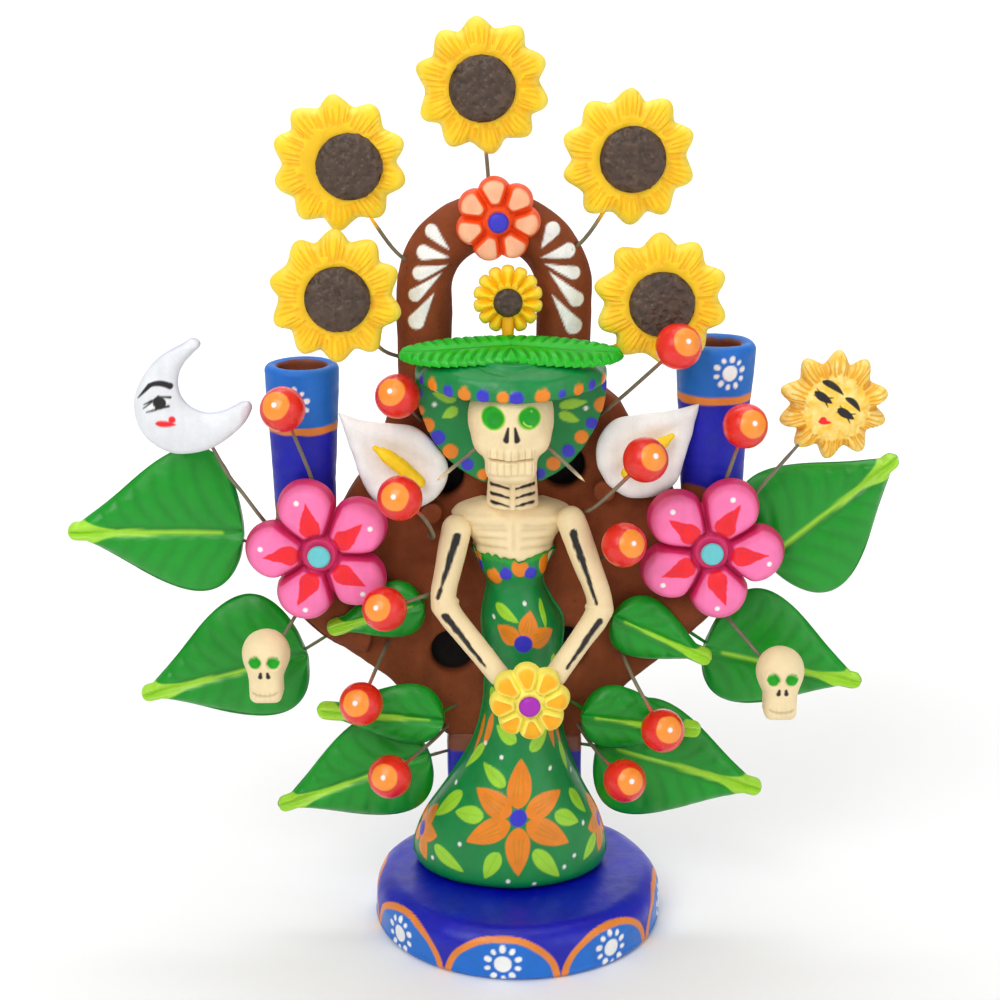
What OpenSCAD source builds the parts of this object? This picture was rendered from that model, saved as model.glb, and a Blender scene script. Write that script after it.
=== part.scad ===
// Clay tree of life: a fired, painted clay tree with a calavera lady in front of it,
// flowers, leaves, berries, a sun and a moon on wires, and a candle cup on each branch.
// Millimetres. The origin is the centre of the base's underside, +Z is up,
// and the lady faces -Y.

/* [Base and trunk] */
// Radius of the round base
base_r = 49; // [44:1:56]
// Height of the round base
base_h = 17; // [14:1:22]
// Radius of the base's soft top edge
base_top_edge = 4; // [2:0.5:6]
// Radius of the base's bottom edge
base_foot_edge = 2; // [1:0.5:4]
// Width of the trunk
trunk_w = 46; // [40:1:50]
// Depth of the trunk, front to back
trunk_d = 18; // [16:1:24]
// Depth of the shallow seat that the trunk stands in
trunk_seat = 3; // [2:0.5:5]

/* [Tree body] */
// Thickness of the flat body
body_t = 12; // [10:1:14]
// Radius of the four round recesses in the body's front
recess_r = 7.5; // [6:0.5:8]
// Depth of those recesses
recess_depth = 8; // [5:0.5:9]
// Length of the tenon that goes down into the trunk
tenon_l = 10; // [6:1:16]
// Width of that tenon
tenon_w = 28; // [20:1:34]
// Thickness of that tenon
tenon_t = 8; // [6:1:10]

/* [Arch and branches] */
// Radius of the arch's centre line
arch_r = 22.5; // [21:0.5:24]
// Radius of the arch's coil of clay
arch_coil_r = 9; // [8:0.5:10]
// Radius of each branch's centre line where it turns upward
branch_bend_r = 28; // [26:1:30]
// Radius of each branch's coil of clay
branch_coil_r = 10.5; // [10:0.5:12]

/* [Candle cups] */
// Radius of the left cup at its mouth
cup_left_r = 12.3; // [12:0.1:14]
// Radius of the right cup at its mouth
cup_right_r = 13.2; // [12:0.1:14]
// Radius of a cup at its foot
cup_foot_r = 10; // [9:0.5:12]
// Height of the left cup
cup_left_h = 52; // [45:1:55]
// Height of the right cup
cup_right_h = 54; // [45:1:56]
// Radius of the candle bore
candle_r = 8; // [7:0.5:9]
// Depth of the candle bore
candle_depth = 28; // [20:1:36]

/* [Lady] */
// Radius of the skull's cranium
cranium_r = 14; // [13:0.5:15]
// Radius of the arm bones
arm_r = 4.2; // [3.5:0.1:5]
// Half width of the hat
hat_half_w = 31; // [29:0.5:33]
// How far the hat's brim reaches forward
brim_reach = 28; // [24:1:30]
// Drop of the hat's side lapels below the brim
lapel_drop = 38; // [32:1:40]

/* [Flowers] */
// Outer radius of the five large sunflowers
sunflower_r = 22.5; // [20:0.5:24]
// Radius of a large sunflower's seed head
seed_head_r = 11.3; // [9:0.1:12]
// Height of a large sunflower's seed head
seed_head_h = 3.5; // [2:0.5:5]
// Thickness of a flower's petals
petal_t = 5; // [4:0.5:7]
// Outer radius of the two pink flowers
pink_r = 25; // [23:0.5:26]
// Thickness of a pink flower's petals
pink_t = 8; // [6:0.5:9]

/* [Leaves and berries] */
// Thickness of a leaf
leaf_t = 4; // [3:0.5:5]
// Radius of a berry
berry_r = 7.4; // [6.5:0.1:8]
// Radius of the wires
wire_r = 0.7; // [0.5:0.1:1]
// Clearance round a wire in its socket
socket_fit = 0.1; // [0.05:0.05:0.2]

/* [Hidden] */

$fn = 64;
leaf_green = [0.02, 0.6, 0.12];
clay = [0.45, 0.24, 0.14];
bone = [0.96, 0.87, 0.68];
sun_yellow = [1, 0.78, 0.05];
seed_brown = [0.3, 0.24, 0.2];
wire_grey = [0.5, 0.47, 0.38];

// The body's flat front and back, and the plane that its branches and cups share
body_front = 6;
body_back = body_front + body_t;
tree_y = body_front + body_t / 2;
body_foot = 62;
trunk_x = -1;

// Arch: its centre, and where its two legs end on the body's shoulders
arch_at = [-8, tree_y, 215.5];
arch_leg_end = 178;

// Each branch ends under its cup at these heights
cup_left_at = [-70.5, tree_y, 139.5];
cup_right_at = [64, tree_y, 145];
bend_left_z = 128;
bend_right_z = 130;
cup_peg_r = 5;
cup_peg_l = 6;
branch_sweep = 78;
// The straight end laps over the bend by this much, and is a hair thicker
collar = 0.5;

recesses = [[-25, 155], [14.5, 158], [-22, 93], [16, 94]];

// The lady: heads and hands
neck_at = [-2, -3, 148.5];
neck_top = 162;
neck_r = 8.5;
neck_top_r = 7.5;
skull_at = [-2.5, -12, 180];
jaw_r = 9.5;
jaw_h = 12;
chin_r = 8;
jaw_at = [-2.5, -13.5, 169];
chin_z = 160;
eye_r = 3.8;
eyes = [[-8, -25, 182], [3.5, -25, 182]];
hat_at = [-2.5, 1, 191];
hat_back = 3;
lapel_t = 5;
hat_flower_at = [-3.5, 0, 214.5];
hat_petal_t = 4;
hat_petals = 14;
hat_flower_r = 11.5;
hat_flower_petal_r = 2.4;
hat_flower_hub_r = 9.6;
hat_stem_l = 8;
hat_center_r = 5.2;
hat_center_h = 2.5;
hat_leaf_l = 36;
hat_leaf_w = 9.5;
hat_leaf_t = 3;
hat_leaf_droop = 4;
hat_leaf_tilt = 4;
hat_leaf_apart = 0.5;
hat_leaf_lift = 1;
hat_leaf_y = -10;
brim_t = 4;
brim_sunk = 1;
brim_tilt = 6;
crown_y = -11;
crown_r = 14;
crown_top_r = 10;
crown_h = 7.5;
bouquet_at = [3.5, -27, 88.5];
bouquet_t = 6;
bouquet_petals = 8;
bouquet_r = 13.5;
bouquet_petal_r = 4.6;
bouquet_hub_r = 9;
bouquet_center_r = 4.1;
bouquet_center_h = 2;
joint_swell = 1.15;
elbow_swell = 1.1;
shoulder_left = [-20.2, -3, 139.5];
elbow_left = [-25.2, -8, 115.5];
hand_left = [-6.5, -19.5, 95];
shoulder_right = [17, -3, 142.5];
elbow_right = [27.8, -8, 114];
hand_right = [12, -19.5, 95];

// Dress and torso as stacked sections: [height, middle x, half width, depth in front of the body]
dress_sections = [
    [17, -2.5, 33, 26], [20, -2.5, 33.5, 26.5], [26, -2.5, 33, 26], [36, -2, 29.5, 24.5],
    [48, -1, 22.5, 21], [62, 0.5, 16, 17], [76, 1, 13, 15], [90, 1.5, 13, 14.5],
    [105, 1.5, 14, 15], [113, 0, 11.5, 13.5], [119.5, -1, 9.5, 12], [125, -1.5, 11.5, 13],
    [130, -1.5, 14, 14.5]
];
torso_sections = [
    [130, -1.5, 13, 13.5], [134, -1.5, 13.5, 14], [139, -2, 17, 14], [143, -2, 19.5, 13],
    [146, -2, 17, 12], [148.5, -2, 9.5, 11]
];

// Sunflowers: [node, middle of the petals' back, wire's route from the clay to the flower,
// shift of the seed head across the petals]
sunflowers = [
    ["sunflower_top", [-11.5, 8, 280.5],
        [[-9, 12, 240], [-10, 9, 256], [-11, 5.5, 266]], [0, 0, -0.5]],
    ["sunflower_upper_left", [-56, 1, 257.5],
        [[-31, 12, 222], [-39, 5, 229], [-47, -1.5, 242]], [3.5, 0, -0.5]],
    ["sunflower_upper_right", [34, 3, 259],
        [[13, 12, 225], [21, 7, 233], [28, 0.5, 245]], [1, 0, 0]],
    ["sunflower_lower_left", [-57.5, -6, 217],
        [[-31, 12, 192], [-42, -2, 198], [-47, -8.5, 205]], [1, 0, 0]],
    ["sunflower_lower_right", [44.5, -4, 215.5],
        [[15, 12, 190], [27, 0, 198], [34, -6.5, 203]], [0, 0, -0.5]]
];
sunflower_lobes = 10;
sunflower_lobe_r = 4;

// The flower on the arch: the middle of its petals' back
arch_flower_at = [-6.5, 3, 239.5];
arch_petal_t = 6;
arch_petals = 7;
arch_flower_r = 14;
arch_petal_r = 5.2;
arch_hub_r = 9;
arch_center_r = 3.8;
arch_center_h = 2;

// Pink flowers: [node, middle of the petals' back, turn of the first petal]
pink_flowers = [
    ["pink_flower_left", [-64.5, -2.6, 132.5], 34],
    ["pink_flower_right", [62.5, -2.6, 133.5], -6]
];
pink_petals = 5;
pink_petal_r = 9.8;
pink_hub_r = 11;
pink_center_r = 3.9;
pink_center_h = 1.5;

// Straight wire pins hold these flowers: from the clay behind to the middle of the petals
pin_depth = 9;
pin_grip = 4;
pins = [for (at = [arch_flower_at, pink_flowers[0][1], pink_flowers[1][1]])
    [at + [0, pin_depth, 0], at - [0, pin_grip, 0]]];

// Leaves: [node, middle of the stalk end, length, widths above and below the midrib,
// turn from +X, wire's end in the clay]
leaves = [
    ["leaf_left_upper", [-90, 3, 137], 58, [29, 21], 180, [-77, 9, 126]],
    ["leaf_left_middle", [-71, 11, 91], 59, [26, 19], 195, [-59, 13, 100]],
    ["leaf_left_lower", [-30, 4, 57.5], 56, [20, 18], 201, [-20, 11, 56]],
    ["leaf_left_front", [-24.5, -3, 72.5], 43, [12, 10], 175, [-18, 9, 74]],
    ["leaf_left_inner", [-31, 1.5, 113], 34, [10, 10], 197, [-26, 10, 114]],
    ["leaf_right_upper", [81.5, 7, 126], 56, [25, 24], 40, [69, 11, 121]],
    ["leaf_right_middle", [62.5, 11, 93], 56, [25, 17], -13, [49, 13, 104]],
    ["leaf_right_lower", [27, 4, 61.5], 59, [21, 23], -17, [17, 11, 58]],
    ["leaf_right_front", [21, -3, 74.5], 41, [12, 11], -8, [15, 9, 76]],
    ["leaf_right_inner", [31.5, 1.5, 107.5], 37, [11, 11], -26, [26, 10, 109]]
];
leaf_steps = 18;
// A leaf is widest before its middle, and thins towards its tip
leaf_belly = 0.55;
leaf_full = 1.06;
leaf_taper = 0.2;

// Berries: each wire's route from the clay to the middle of its berry
berry_routes = [
    [[-65, 7, 132], [-65.5, 0.5, 142], [-67, -1, 156], [-74.5, -12, 182]],
    [[-30, 10, 171], [-33, 3, 176], [-38.5, -7, 185]],
    [[-30, 10, 135], [-29, 3, 134.5], [-27.5, -8, 139], [-30.5, -17, 148], [-37.5, -21, 155.5]],
    [[-26, 10, 117.5], [-28, -4, 118], [-43, -20, 118]],
    [[-42, 10, 98], [-45, 1, 95], [-51.5, -16, 83.5]],
    [[-21, 10, 68], [-29, 0, 63], [-42.5, -16, 57.5]],
    [[24, 10, 172], [34, -4, 185], [49, -20, 204]],
    [[65, 8, 136], [66, 0.5, 147], [66.5, -1, 153], [71.5, -12, 176.5]],
    [[22, 10, 142], [22.5, -4, 146], [27, -12, 152], [39.5, -21, 168]],
    [[25, 10, 123], [29, -4, 131], [33.5, -18, 139]],
    [[33, 10, 98], [38, -3, 88], [47.5, -16, 74]],
    [[18, 10, 69], [26, -3, 61.5], [35.5, -14, 55]]
];

// Other ornaments on wires
moon_back = -2;
moon_t = 8;
moon_outline = [
    [-103, 204], [-106, 202.5], [-113, 198], [-119, 192], [-122, 185.5], [-122.5, 180], [-121, 174],
    [-117, 169], [-111, 166], [-104, 166], [-97, 168], [-91, 172], [-87, 176], [-84.5, 180.5],
    [-85, 183], [-87, 183.5], [-93, 180.5], [-100, 179.5], [-105, 181.5], [-107.5, 185.5],
    [-108, 190.5], [-106, 195], [-102.5, 199], [-100, 202], [-100.5, 203.5]
];
moon_route = [[-75, 9, 131], [-82, 1, 139.5], [-89.5, -2, 151.5], [-94, -3.5, 158.5], [-100, -6, 172]];
sun_at = [101, 0, 180.5];
sun_r = 19;
sun_t = 7;
sun_rays = 10;
sun_ray_r = 3.8;
sun_route = [[68, 8, 136], [73, 1, 143], [77, 0, 150.5], [93, -3.5, 172]];
small_skulls = [
    ["small_skull_left", [-83, -8, 94.5], [[-71, 8, 113], [-74, 0, 108], [-81, -7, 98]]],
    ["small_skull_right", [86.5, -8, 88.5], [[66, 8, 112], [70, 0, 107], [83, -7, 93]]]
];
small_skull_r = 8.2;
small_skull_z = 3.7;
small_chin_at = [0, -2, -12];
small_chin_r = 4.8;
small_jaw_r = 5.8;
small_jaw_h = 12;
calla_pegs = [[-28.5, 143], [28, 150.5]];
calla_peg_r = 3.6;
calla_back = 2;
calla_t = 3;
calla_outlines = [
    [[-58.5, 178], [-50, 174.5], [-41, 173.5], [-33, 173], [-28.5, 167.5], [-22, 160],
     [-24, 153], [-29, 147], [-38, 144], [-46, 146], [-50, 153], [-53, 163]],
    [[58.5, 181], [50, 178.5], [40, 177], [30, 175], [25, 169], [25, 161],
     [29, 153], [36, 148.5], [45, 149], [52, 154], [54, 163], [56, 172]]
];
spadix_routes = [[[-31, -3.6, 155], [-46, -4, 167]], [[34, -3.6, 158], [49, -4, 171]]];
spadix_r = 2.6;
spadix_tip_r = 2.65;
cheek_routes = [[[-9, -14, 174], [-14, -16, 170], [-26.5, -17, 159.5]],
    [[4.5, -14, 174], [10, -16, 170], [21.5, -17, 159]]];

// A wire's cross-section sides, and the sweep's steps along each span of its route
wire_sides = 8;
wire_steps = 4;
// A direction that no wire runs along
wire_aside = [0.3, 0.2, 1];

function ring_x(r, a) = [r * cos(a), r * sin(a)];

// A leaf's width on one side at t, from 0 at its stalk to 1 at its tip, as a share of its greatest
function leaf_side(t) = sin(180 * pow(t, leaf_belly)) * (leaf_full - leaf_taper * t);

// A straight round rod from a to b
module rod(a, b, r) {
    d = b - a;
    translate(a)
        rotate([0, acos(d[2] / norm(d)), atan2(d[1], d[0])])
            cylinder(r = r, h = norm(d), $fn = 24);
}

// A point on the smooth curve through a route, at t from 0 to the number of its spans
function curve_at(route, t) = let (
    last = len(route) - 1,
    i = min(floor(t), last - 1),
    u = t - i,
    p0 = route[max(i - 1, 0)], p1 = route[i], p2 = route[i + 1], p3 = route[min(i + 2, last)]
) (2 * p1 + (p2 - p0) * u + (2 * p0 - 5 * p1 + 4 * p2 - p3) * u * u
    + (3 * p1 - p0 - 3 * p2 + p3) * u * u * u) / 2;

// A bent wire: one round tube swept along the smooth curve through its route
module wire(route) {
    steps = wire_steps * (len(route) - 1);
    line = [for (k = [0 : steps]) curve_at(route, k / wire_steps)];
    rings = [for (k = [0 : steps]) let (
        along = line[min(k + 1, steps)] - line[max(k - 1, 0)],
        side = cross(along, wire_aside),
        a = side / norm(side),
        b = cross(along, a) / norm(along)
    ) [for (i = [0 : wire_sides - 1]) line[k]
        + wire_r * (a * cos(360 * i / wire_sides) + b * sin(360 * i / wire_sides))]];
    walls = [for (k = [0 : steps - 1], i = [0 : wire_sides - 1]) let (j = (i + 1) % wire_sides)
        [k * wire_sides + i, k * wire_sides + j, (k + 1) * wire_sides + j, (k + 1) * wire_sides + i]];
    first_cap = [for (i = [wire_sides - 1 : -1 : 0]) i];
    last_cap = [for (i = [0 : wire_sides - 1]) steps * wire_sides + i];
    polyhedron([for (ring = rings) each ring], concat([first_cap, last_cap], walls));
}

// Sockets for the clay ends and for the ornament ends of the wires
module clay_sockets(routes) {
    for (p = routes) rod(p[0], p[1], wire_r + socket_fit);
}
module wire_socket(route) {
    n = len(route);
    difference() {
        children();
        rod(route[n - 2], route[n - 1], wire_r + socket_fit);
    }
}

// An upright plate: an outline in x and z, with its back at y and its front at y - t
module upright(y, t) {
    translate([0, y, 0]) rotate([90, 0, 0]) linear_extrude(t) children();
}

// A low dome on the front of an upright plate
module front_dome(at, r, h) {
    ball_r = (r * r + h * h) / (2 * h);
    translate(at) rotate([90, 0, 0]) difference() {
        translate([0, 0, h - ball_r]) sphere(r = ball_r, $fn = 160);
        translate([0, 0, -ball_r]) cube(2 * ball_r + 1, center = true);
    }
}

// A body whose flat back lies on the tree, lofted through stacked half ovals
module half_loft(sections, back, steps = 24) {
    n = steps + 1;
    points = [for (s = sections, i = [0 : steps]) let (a = 180 + 180 * i / steps)
        [s[1] + s[2] * cos(a), back + s[3] * sin(a), s[0]]];
    rings = len(sections);
    sides = [for (k = [0 : rings - 2], i = [0 : n - 1]) let (j = (i + 1) % n)
        [k * n + i, (k + 1) * n + i, (k + 1) * n + j, k * n + j]];
    floor_face = [for (i = [0 : n - 1]) i];
    top_face = [for (i = [n - 1 : -1 : 0]) (rings - 1) * n + i];
    polyhedron(points, concat([floor_face, top_face], sides));
}

// A flower's outline: round petals on a ring round a hub
module petals(count, outer_r, petal_r, hub_r, turn = 90) {
    circle(hub_r);
    for (i = [0 : count - 1])
        translate(ring_x(outer_r - petal_r, turn + 360 * i / count)) circle(petal_r);
}

// A leaf's outline along +X, with its stalk end at the origin and widths on its left and right
module leaf_outline(length, left_w, right_w) {
    left = [for (i = [0 : leaf_steps]) let (t = i / leaf_steps) [length * t, left_w * leaf_side(t)]];
    right = [for (i = [leaf_steps - 1 : -1 : 1]) let (t = i / leaf_steps)
        [length * t, -right_w * leaf_side(t)]];
    polygon(concat(left, right));
}

module base() color("mediumblue")
    difference() {
        rotate_extrude() {
            square([base_r - base_top_edge, base_h]);
            square([base_r - base_foot_edge, base_h - base_top_edge]);
            translate([0, base_foot_edge]) square([base_r, base_h - base_top_edge - base_foot_edge]);
            translate([base_r - base_top_edge, base_h - base_top_edge]) circle(base_top_edge);
            translate([base_r - base_foot_edge, base_foot_edge]) circle(base_foot_edge);
        }
        translate([trunk_x - trunk_w / 2, body_front, base_h - trunk_seat])
            cube([trunk_w, trunk_d, trunk_seat + 1]);
    }

module tenon(slack = 0)
    translate([trunk_x - tenon_w / 2 - slack, tree_y - tenon_t / 2 - slack, body_foot - tenon_l - slack])
        cube([tenon_w + 2 * slack, tenon_t + 2 * slack, tenon_l + 2 * slack + 1]);

module trunk() color("mediumblue")
    difference() {
        translate([trunk_x - trunk_w / 2, body_front, base_h - trunk_seat])
            cube([trunk_w, trunk_d, body_foot - base_h + trunk_seat]);
        tenon(socket_fit);
        clay_sockets([for (leaf = leaves) [leaf[5], leaf[1]]]);
    }

module body_outline() {
    polygon([
        [trunk_x - trunk_w / 2, body_foot], [trunk_x + trunk_w / 2, body_foot], [30, 72], [38, 82],
        [48, 90], [58, 99], [66, 108], [66, 122], [57, 136], [50, 152], [42, 160], [38, 170],
        [33, 179], [25, 185], [5, 187], [-21, 187], [-41, 184], [-43, 174], [-47, 160], [-54, 151],
        [-64, 134], [-73, 122], [-73, 106], [-66, 99], [-56, 92], [-44, 83], [-36, 74]
    ]);
}

module tree_body() color(clay)
    difference() {
        union() {
            upright(body_back, body_t) body_outline();
            tenon();
        }
        upright(body_front + recess_depth, recess_depth + 1)
            for (p = recesses) translate(p) circle(recess_r);
        clay_sockets([for (leaf = leaves) [leaf[5], leaf[1]]]);
        clay_sockets(berry_routes);
        clay_sockets([for (s = small_skulls) s[2]]);
    }

// The arch's legs straddle the body's shoulders
module arch() color(clay)
    difference() {
        translate(arch_at) rotate([90, 0, 0]) {
            rotate_extrude(angle = 180) translate([arch_r, 0]) circle(arch_coil_r);
            for (x = [-arch_r, arch_r])
                translate([x, arch_leg_end - arch_at[2], 0]) rotate([-90, 0, 0])
                    cylinder(r = arch_coil_r, h = arch_at[2] - arch_leg_end);
        }
        upright(body_back, body_t) body_outline();
        clay_sockets([for (f = sunflowers) f[2]]);
        clay_sockets(pins);
    }

// A branch's forked end straddles the body's edge, and its other end turns up under a cup
module branch(cup_at, side, bend_z) {
    difference() {
        translate([cup_at[0] - side * branch_bend_r, tree_y, bend_z])
            rotate([90, 0, side > 0 ? 0 : 180]) {
                rotate([0, 0, -branch_sweep]) rotate_extrude(angle = branch_sweep)
                    translate([branch_bend_r, 0]) circle(branch_coil_r);
                translate([branch_bend_r, -collar, 0]) rotate([-90, 0, 0])
                    cylinder(r = branch_coil_r + collar / 10, h = cup_at[2] - bend_z + collar);
            }
        upright(body_back, body_t) body_outline();
        translate(cup_at - [0, 0, cup_peg_l]) cylinder(r = cup_peg_r + socket_fit, h = cup_peg_l + 1);
        clay_sockets(berry_routes);
        clay_sockets([for (leaf = leaves) [leaf[5], leaf[1]]]);
        clay_sockets([for (s = small_skulls) s[2]]);
        clay_sockets([moon_route, sun_route]);
        clay_sockets(pins);
    }
}
module branch_left() color(clay) branch(cup_left_at, -1, bend_left_z);
module branch_right() color(clay) branch(cup_right_at, 1, bend_right_z);

module candle_cup(at, h, top_r) {
    lip = 1.5;
    translate(at)
        rotate_extrude() difference() {
            union() {
                polygon([[0, 0], [cup_foot_r, 0], [top_r, h - lip], [top_r - lip, h], [0, h]]);
                translate([0, -cup_peg_l + 1]) square([cup_peg_r, cup_peg_l]);
            }
            translate([-1, h - candle_depth]) square([candle_r + 1, candle_depth + 1]);
        }
}
module candle_cup_left() color("royalblue") candle_cup(cup_left_at, cup_left_h, cup_left_r);
module candle_cup_right() color("royalblue") candle_cup(cup_right_at, cup_right_h, cup_right_r);

module dress() color("seagreen") half_loft(dress_sections, body_front);
module torso() color(bone) half_loft(torso_sections, body_front);

module arm(shoulder, elbow, hand) {
    for (p = [[shoulder, joint_swell], [elbow, elbow_swell], [hand, joint_swell]])
        translate(p[0]) sphere(r = arm_r * p[1]);
    rod(shoulder, elbow, arm_r);
    rod(elbow, hand, arm_r);
}
module arm_left() color(bone) arm(shoulder_left, elbow_left, hand_left);
module arm_right() color(bone) arm(shoulder_right, elbow_right, hand_right);

module neck_form(slack = 0)
    translate(neck_at) cylinder(r1 = neck_r + slack, r2 = neck_top_r + slack, h = neck_top - neck_at[2]);
module neck() color(bone) neck_form();

module skull() color(bone)
    difference() {
        union() {
            translate(skull_at) sphere(r = cranium_r);
            translate([jaw_at[0], jaw_at[1], chin_z]) cylinder(r1 = chin_r, r2 = jaw_r, h = jaw_h);
        }
        for (p = eyes) translate(p) sphere(r = eye_r);
        neck_form(socket_fit);
        clay_sockets(cheek_routes);
    }

// The hat: lapels that hang behind the skull, a brim that reaches forward, a low crown
module hat() color("seagreen")
    difference() {
        union() {
            upright(hat_back, lapel_t)
                polygon([for (a = [180 : 10 : 360])
                    [hat_at[0] + hat_half_w * cos(a), hat_at[2] + lapel_drop * sin(a)]]);
            translate(hat_at - [0, 0, brim_sunk]) rotate([brim_tilt, 0, 0]) linear_extrude(brim_t)
                polygon([for (a = [180 : 10 : 360]) [hat_half_w * cos(a), brim_reach * sin(a)]]);
            translate([hat_at[0], crown_y, hat_at[2]])
                cylinder(r1 = crown_r, r2 = crown_top_r, h = crown_h);
        }
        translate(skull_at) sphere(r = cranium_r + socket_fit);
        neck_form(socket_fit);
    }

module hat_leaf(side) {
    translate([hat_at[0] + side * hat_leaf_apart, hat_leaf_y, hat_at[2] + crown_h + hat_leaf_lift])
        rotate([0, side * hat_leaf_droop, 0]) rotate([hat_leaf_tilt, 0, side > 0 ? 0 : 180])
            linear_extrude(hat_leaf_t) leaf_outline(hat_leaf_l, hat_leaf_w, hat_leaf_w);
}
module hat_leaf_left() color("limegreen") hat_leaf(-1);
module hat_leaf_right() color("limegreen") hat_leaf(1);

module hat_sunflower() color(sun_yellow) {
    upright(hat_flower_at[1], hat_petal_t)
        translate([hat_flower_at[0], hat_flower_at[2]])
            petals(hat_petals, hat_flower_r, hat_flower_petal_r, hat_flower_hub_r);
    translate([hat_flower_at[0], hat_flower_at[1] - hat_petal_t / 2, hat_at[2] + crown_h])
        cylinder(r = hat_petal_t / 2, h = hat_stem_l);
}
module hat_sunflower_center() color(seed_brown)
    front_dome(hat_flower_at - [0, hat_petal_t, 0], hat_center_r, hat_center_h);

module bouquet_flower() color(sun_yellow)
    upright(bouquet_at[1] + bouquet_t / 2, bouquet_t) translate([bouquet_at[0], bouquet_at[2]])
        petals(bouquet_petals, bouquet_r, bouquet_petal_r, bouquet_hub_r);
module bouquet_center() color("purple")
    front_dome(bouquet_at - [0, bouquet_t / 2, 0], bouquet_center_r, bouquet_center_h);

module cheek_wires() color(wire_grey) for (p = cheek_routes) wire(p);

module sunflower(f) color(sun_yellow)
    wire_socket(f[2])
        upright(f[1][1], petal_t)
            translate([f[1][0], f[1][2]])
                petals(sunflower_lobes, sunflower_r, sunflower_lobe_r, sunflower_r - sunflower_lobe_r);

module sunflower_centers() color(seed_brown)
    for (f = sunflowers) front_dome(f[1] + f[3] - [0, petal_t, 0], seed_head_r, seed_head_h);

module arch_flower() color("orangered")
    wire_socket(pins[0])
        upright(arch_flower_at[1], arch_petal_t)
            translate([arch_flower_at[0], arch_flower_at[2]])
                petals(arch_petals, arch_flower_r, arch_petal_r, arch_hub_r);
module arch_flower_center() color("royalblue")
    front_dome(arch_flower_at - [0, arch_petal_t, 0], arch_center_r, arch_center_h);

module pink_flower(f) color("hotpink")
    difference() {
        upright(f[1][1], pink_t)
            translate([f[1][0], f[1][2]]) petals(pink_petals, pink_r, pink_petal_r, pink_hub_r, f[2]);
        clay_sockets(pins);
    }
module pink_flower_centers() color("turquoise")
    for (f = pink_flowers) front_dome(f[1] - [0, pink_t, 0], pink_center_r, pink_center_h);

module calla(outline) color("white") upright(calla_back, calla_t) polygon(outline);
module calla_left() calla(calla_outlines[0]);
module calla_right() calla(calla_outlines[1]);
module calla_spadices() color("gold")
    for (p = spadix_routes) {
        rod(p[0], p[1], spadix_r);
        translate(p[1]) sphere(r = spadix_tip_r);
    }
module calla_pegs() color(clay)
    for (p = calla_pegs) upright(body_front, body_front - calla_back) translate(p) circle(calla_peg_r);

module moon() color("whitesmoke")
    wire_socket(moon_route)
        upright(moon_back, moon_t) polygon(moon_outline);

module sun() color(sun_yellow)
    wire_socket(sun_route)
        upright(sun_at[1], sun_t)
            translate([sun_at[0], sun_at[2]]) petals(sun_rays, sun_r, sun_ray_r, sun_r - sun_ray_r);

module leaf(l) color(leaf_green)
    difference() {
        translate(l[1]) rotate([0, -l[4], 0]) rotate([90, 0, 0])
            linear_extrude(leaf_t)
                if (cos(l[4]) > 0)
                    leaf_outline(l[2], l[3][0], l[3][1]);
                else
                    leaf_outline(l[2], l[3][1], l[3][0]);
        rod(l[5], leaf_wire_end(l), wire_r + socket_fit);
    }

// A leaf's wire ends this far inside the leaf's stalk end
leaf_grip = 7;
function leaf_wire_end(l) = l[1] + [leaf_grip * cos(l[4]), -leaf_t / 2, leaf_grip * sin(l[4])];

module berries() color("orangered")
    for (p = berry_routes) wire_socket(p) translate(p[len(p) - 1]) sphere(r = berry_r);

module small_skull(s) color(bone)
    wire_socket(s[2])
        translate(s[1]) {
            translate([0, 0, small_skull_z]) sphere(r = small_skull_r);
            translate(small_chin_at) cylinder(r1 = small_chin_r, r2 = small_jaw_r, h = small_jaw_h);
        }

module sunflower_wires() color(wire_grey) for (f = sunflowers) wire(f[2]);
module leaf_wires() color(wire_grey) for (l = leaves) wire([l[5], leaf_wire_end(l)]);
module berry_wires() color(wire_grey) for (p = berry_routes) wire(p);
module ornament_wires() color(wire_grey) {
    wire(moon_route);
    wire(sun_route);
    for (s = small_skulls) wire(s[2]);
    for (p = pins) wire(p);
}

base();
trunk();
tree_body();
arch();
branch_left();
branch_right();
candle_cup_left();
candle_cup_right();
dress();
torso();
arm_left();
arm_right();
neck();
skull();
hat();
hat_leaf_left();
hat_leaf_right();
hat_sunflower();
hat_sunflower_center();
bouquet_flower();
bouquet_center();
cheek_wires();
for (f = sunflowers) sunflower(f);
sunflower_centers();
arch_flower();
arch_flower_center();
for (f = pink_flowers) pink_flower(f);
pink_flower_centers();
calla_left();
calla_right();
calla_spadices();
calla_pegs();
moon();
sun();
for (l = leaves) leaf(l);
berries();
for (s = small_skulls) small_skull(s);
sunflower_wires();
leaf_wires();
berry_wires();
ornament_wires();
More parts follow.
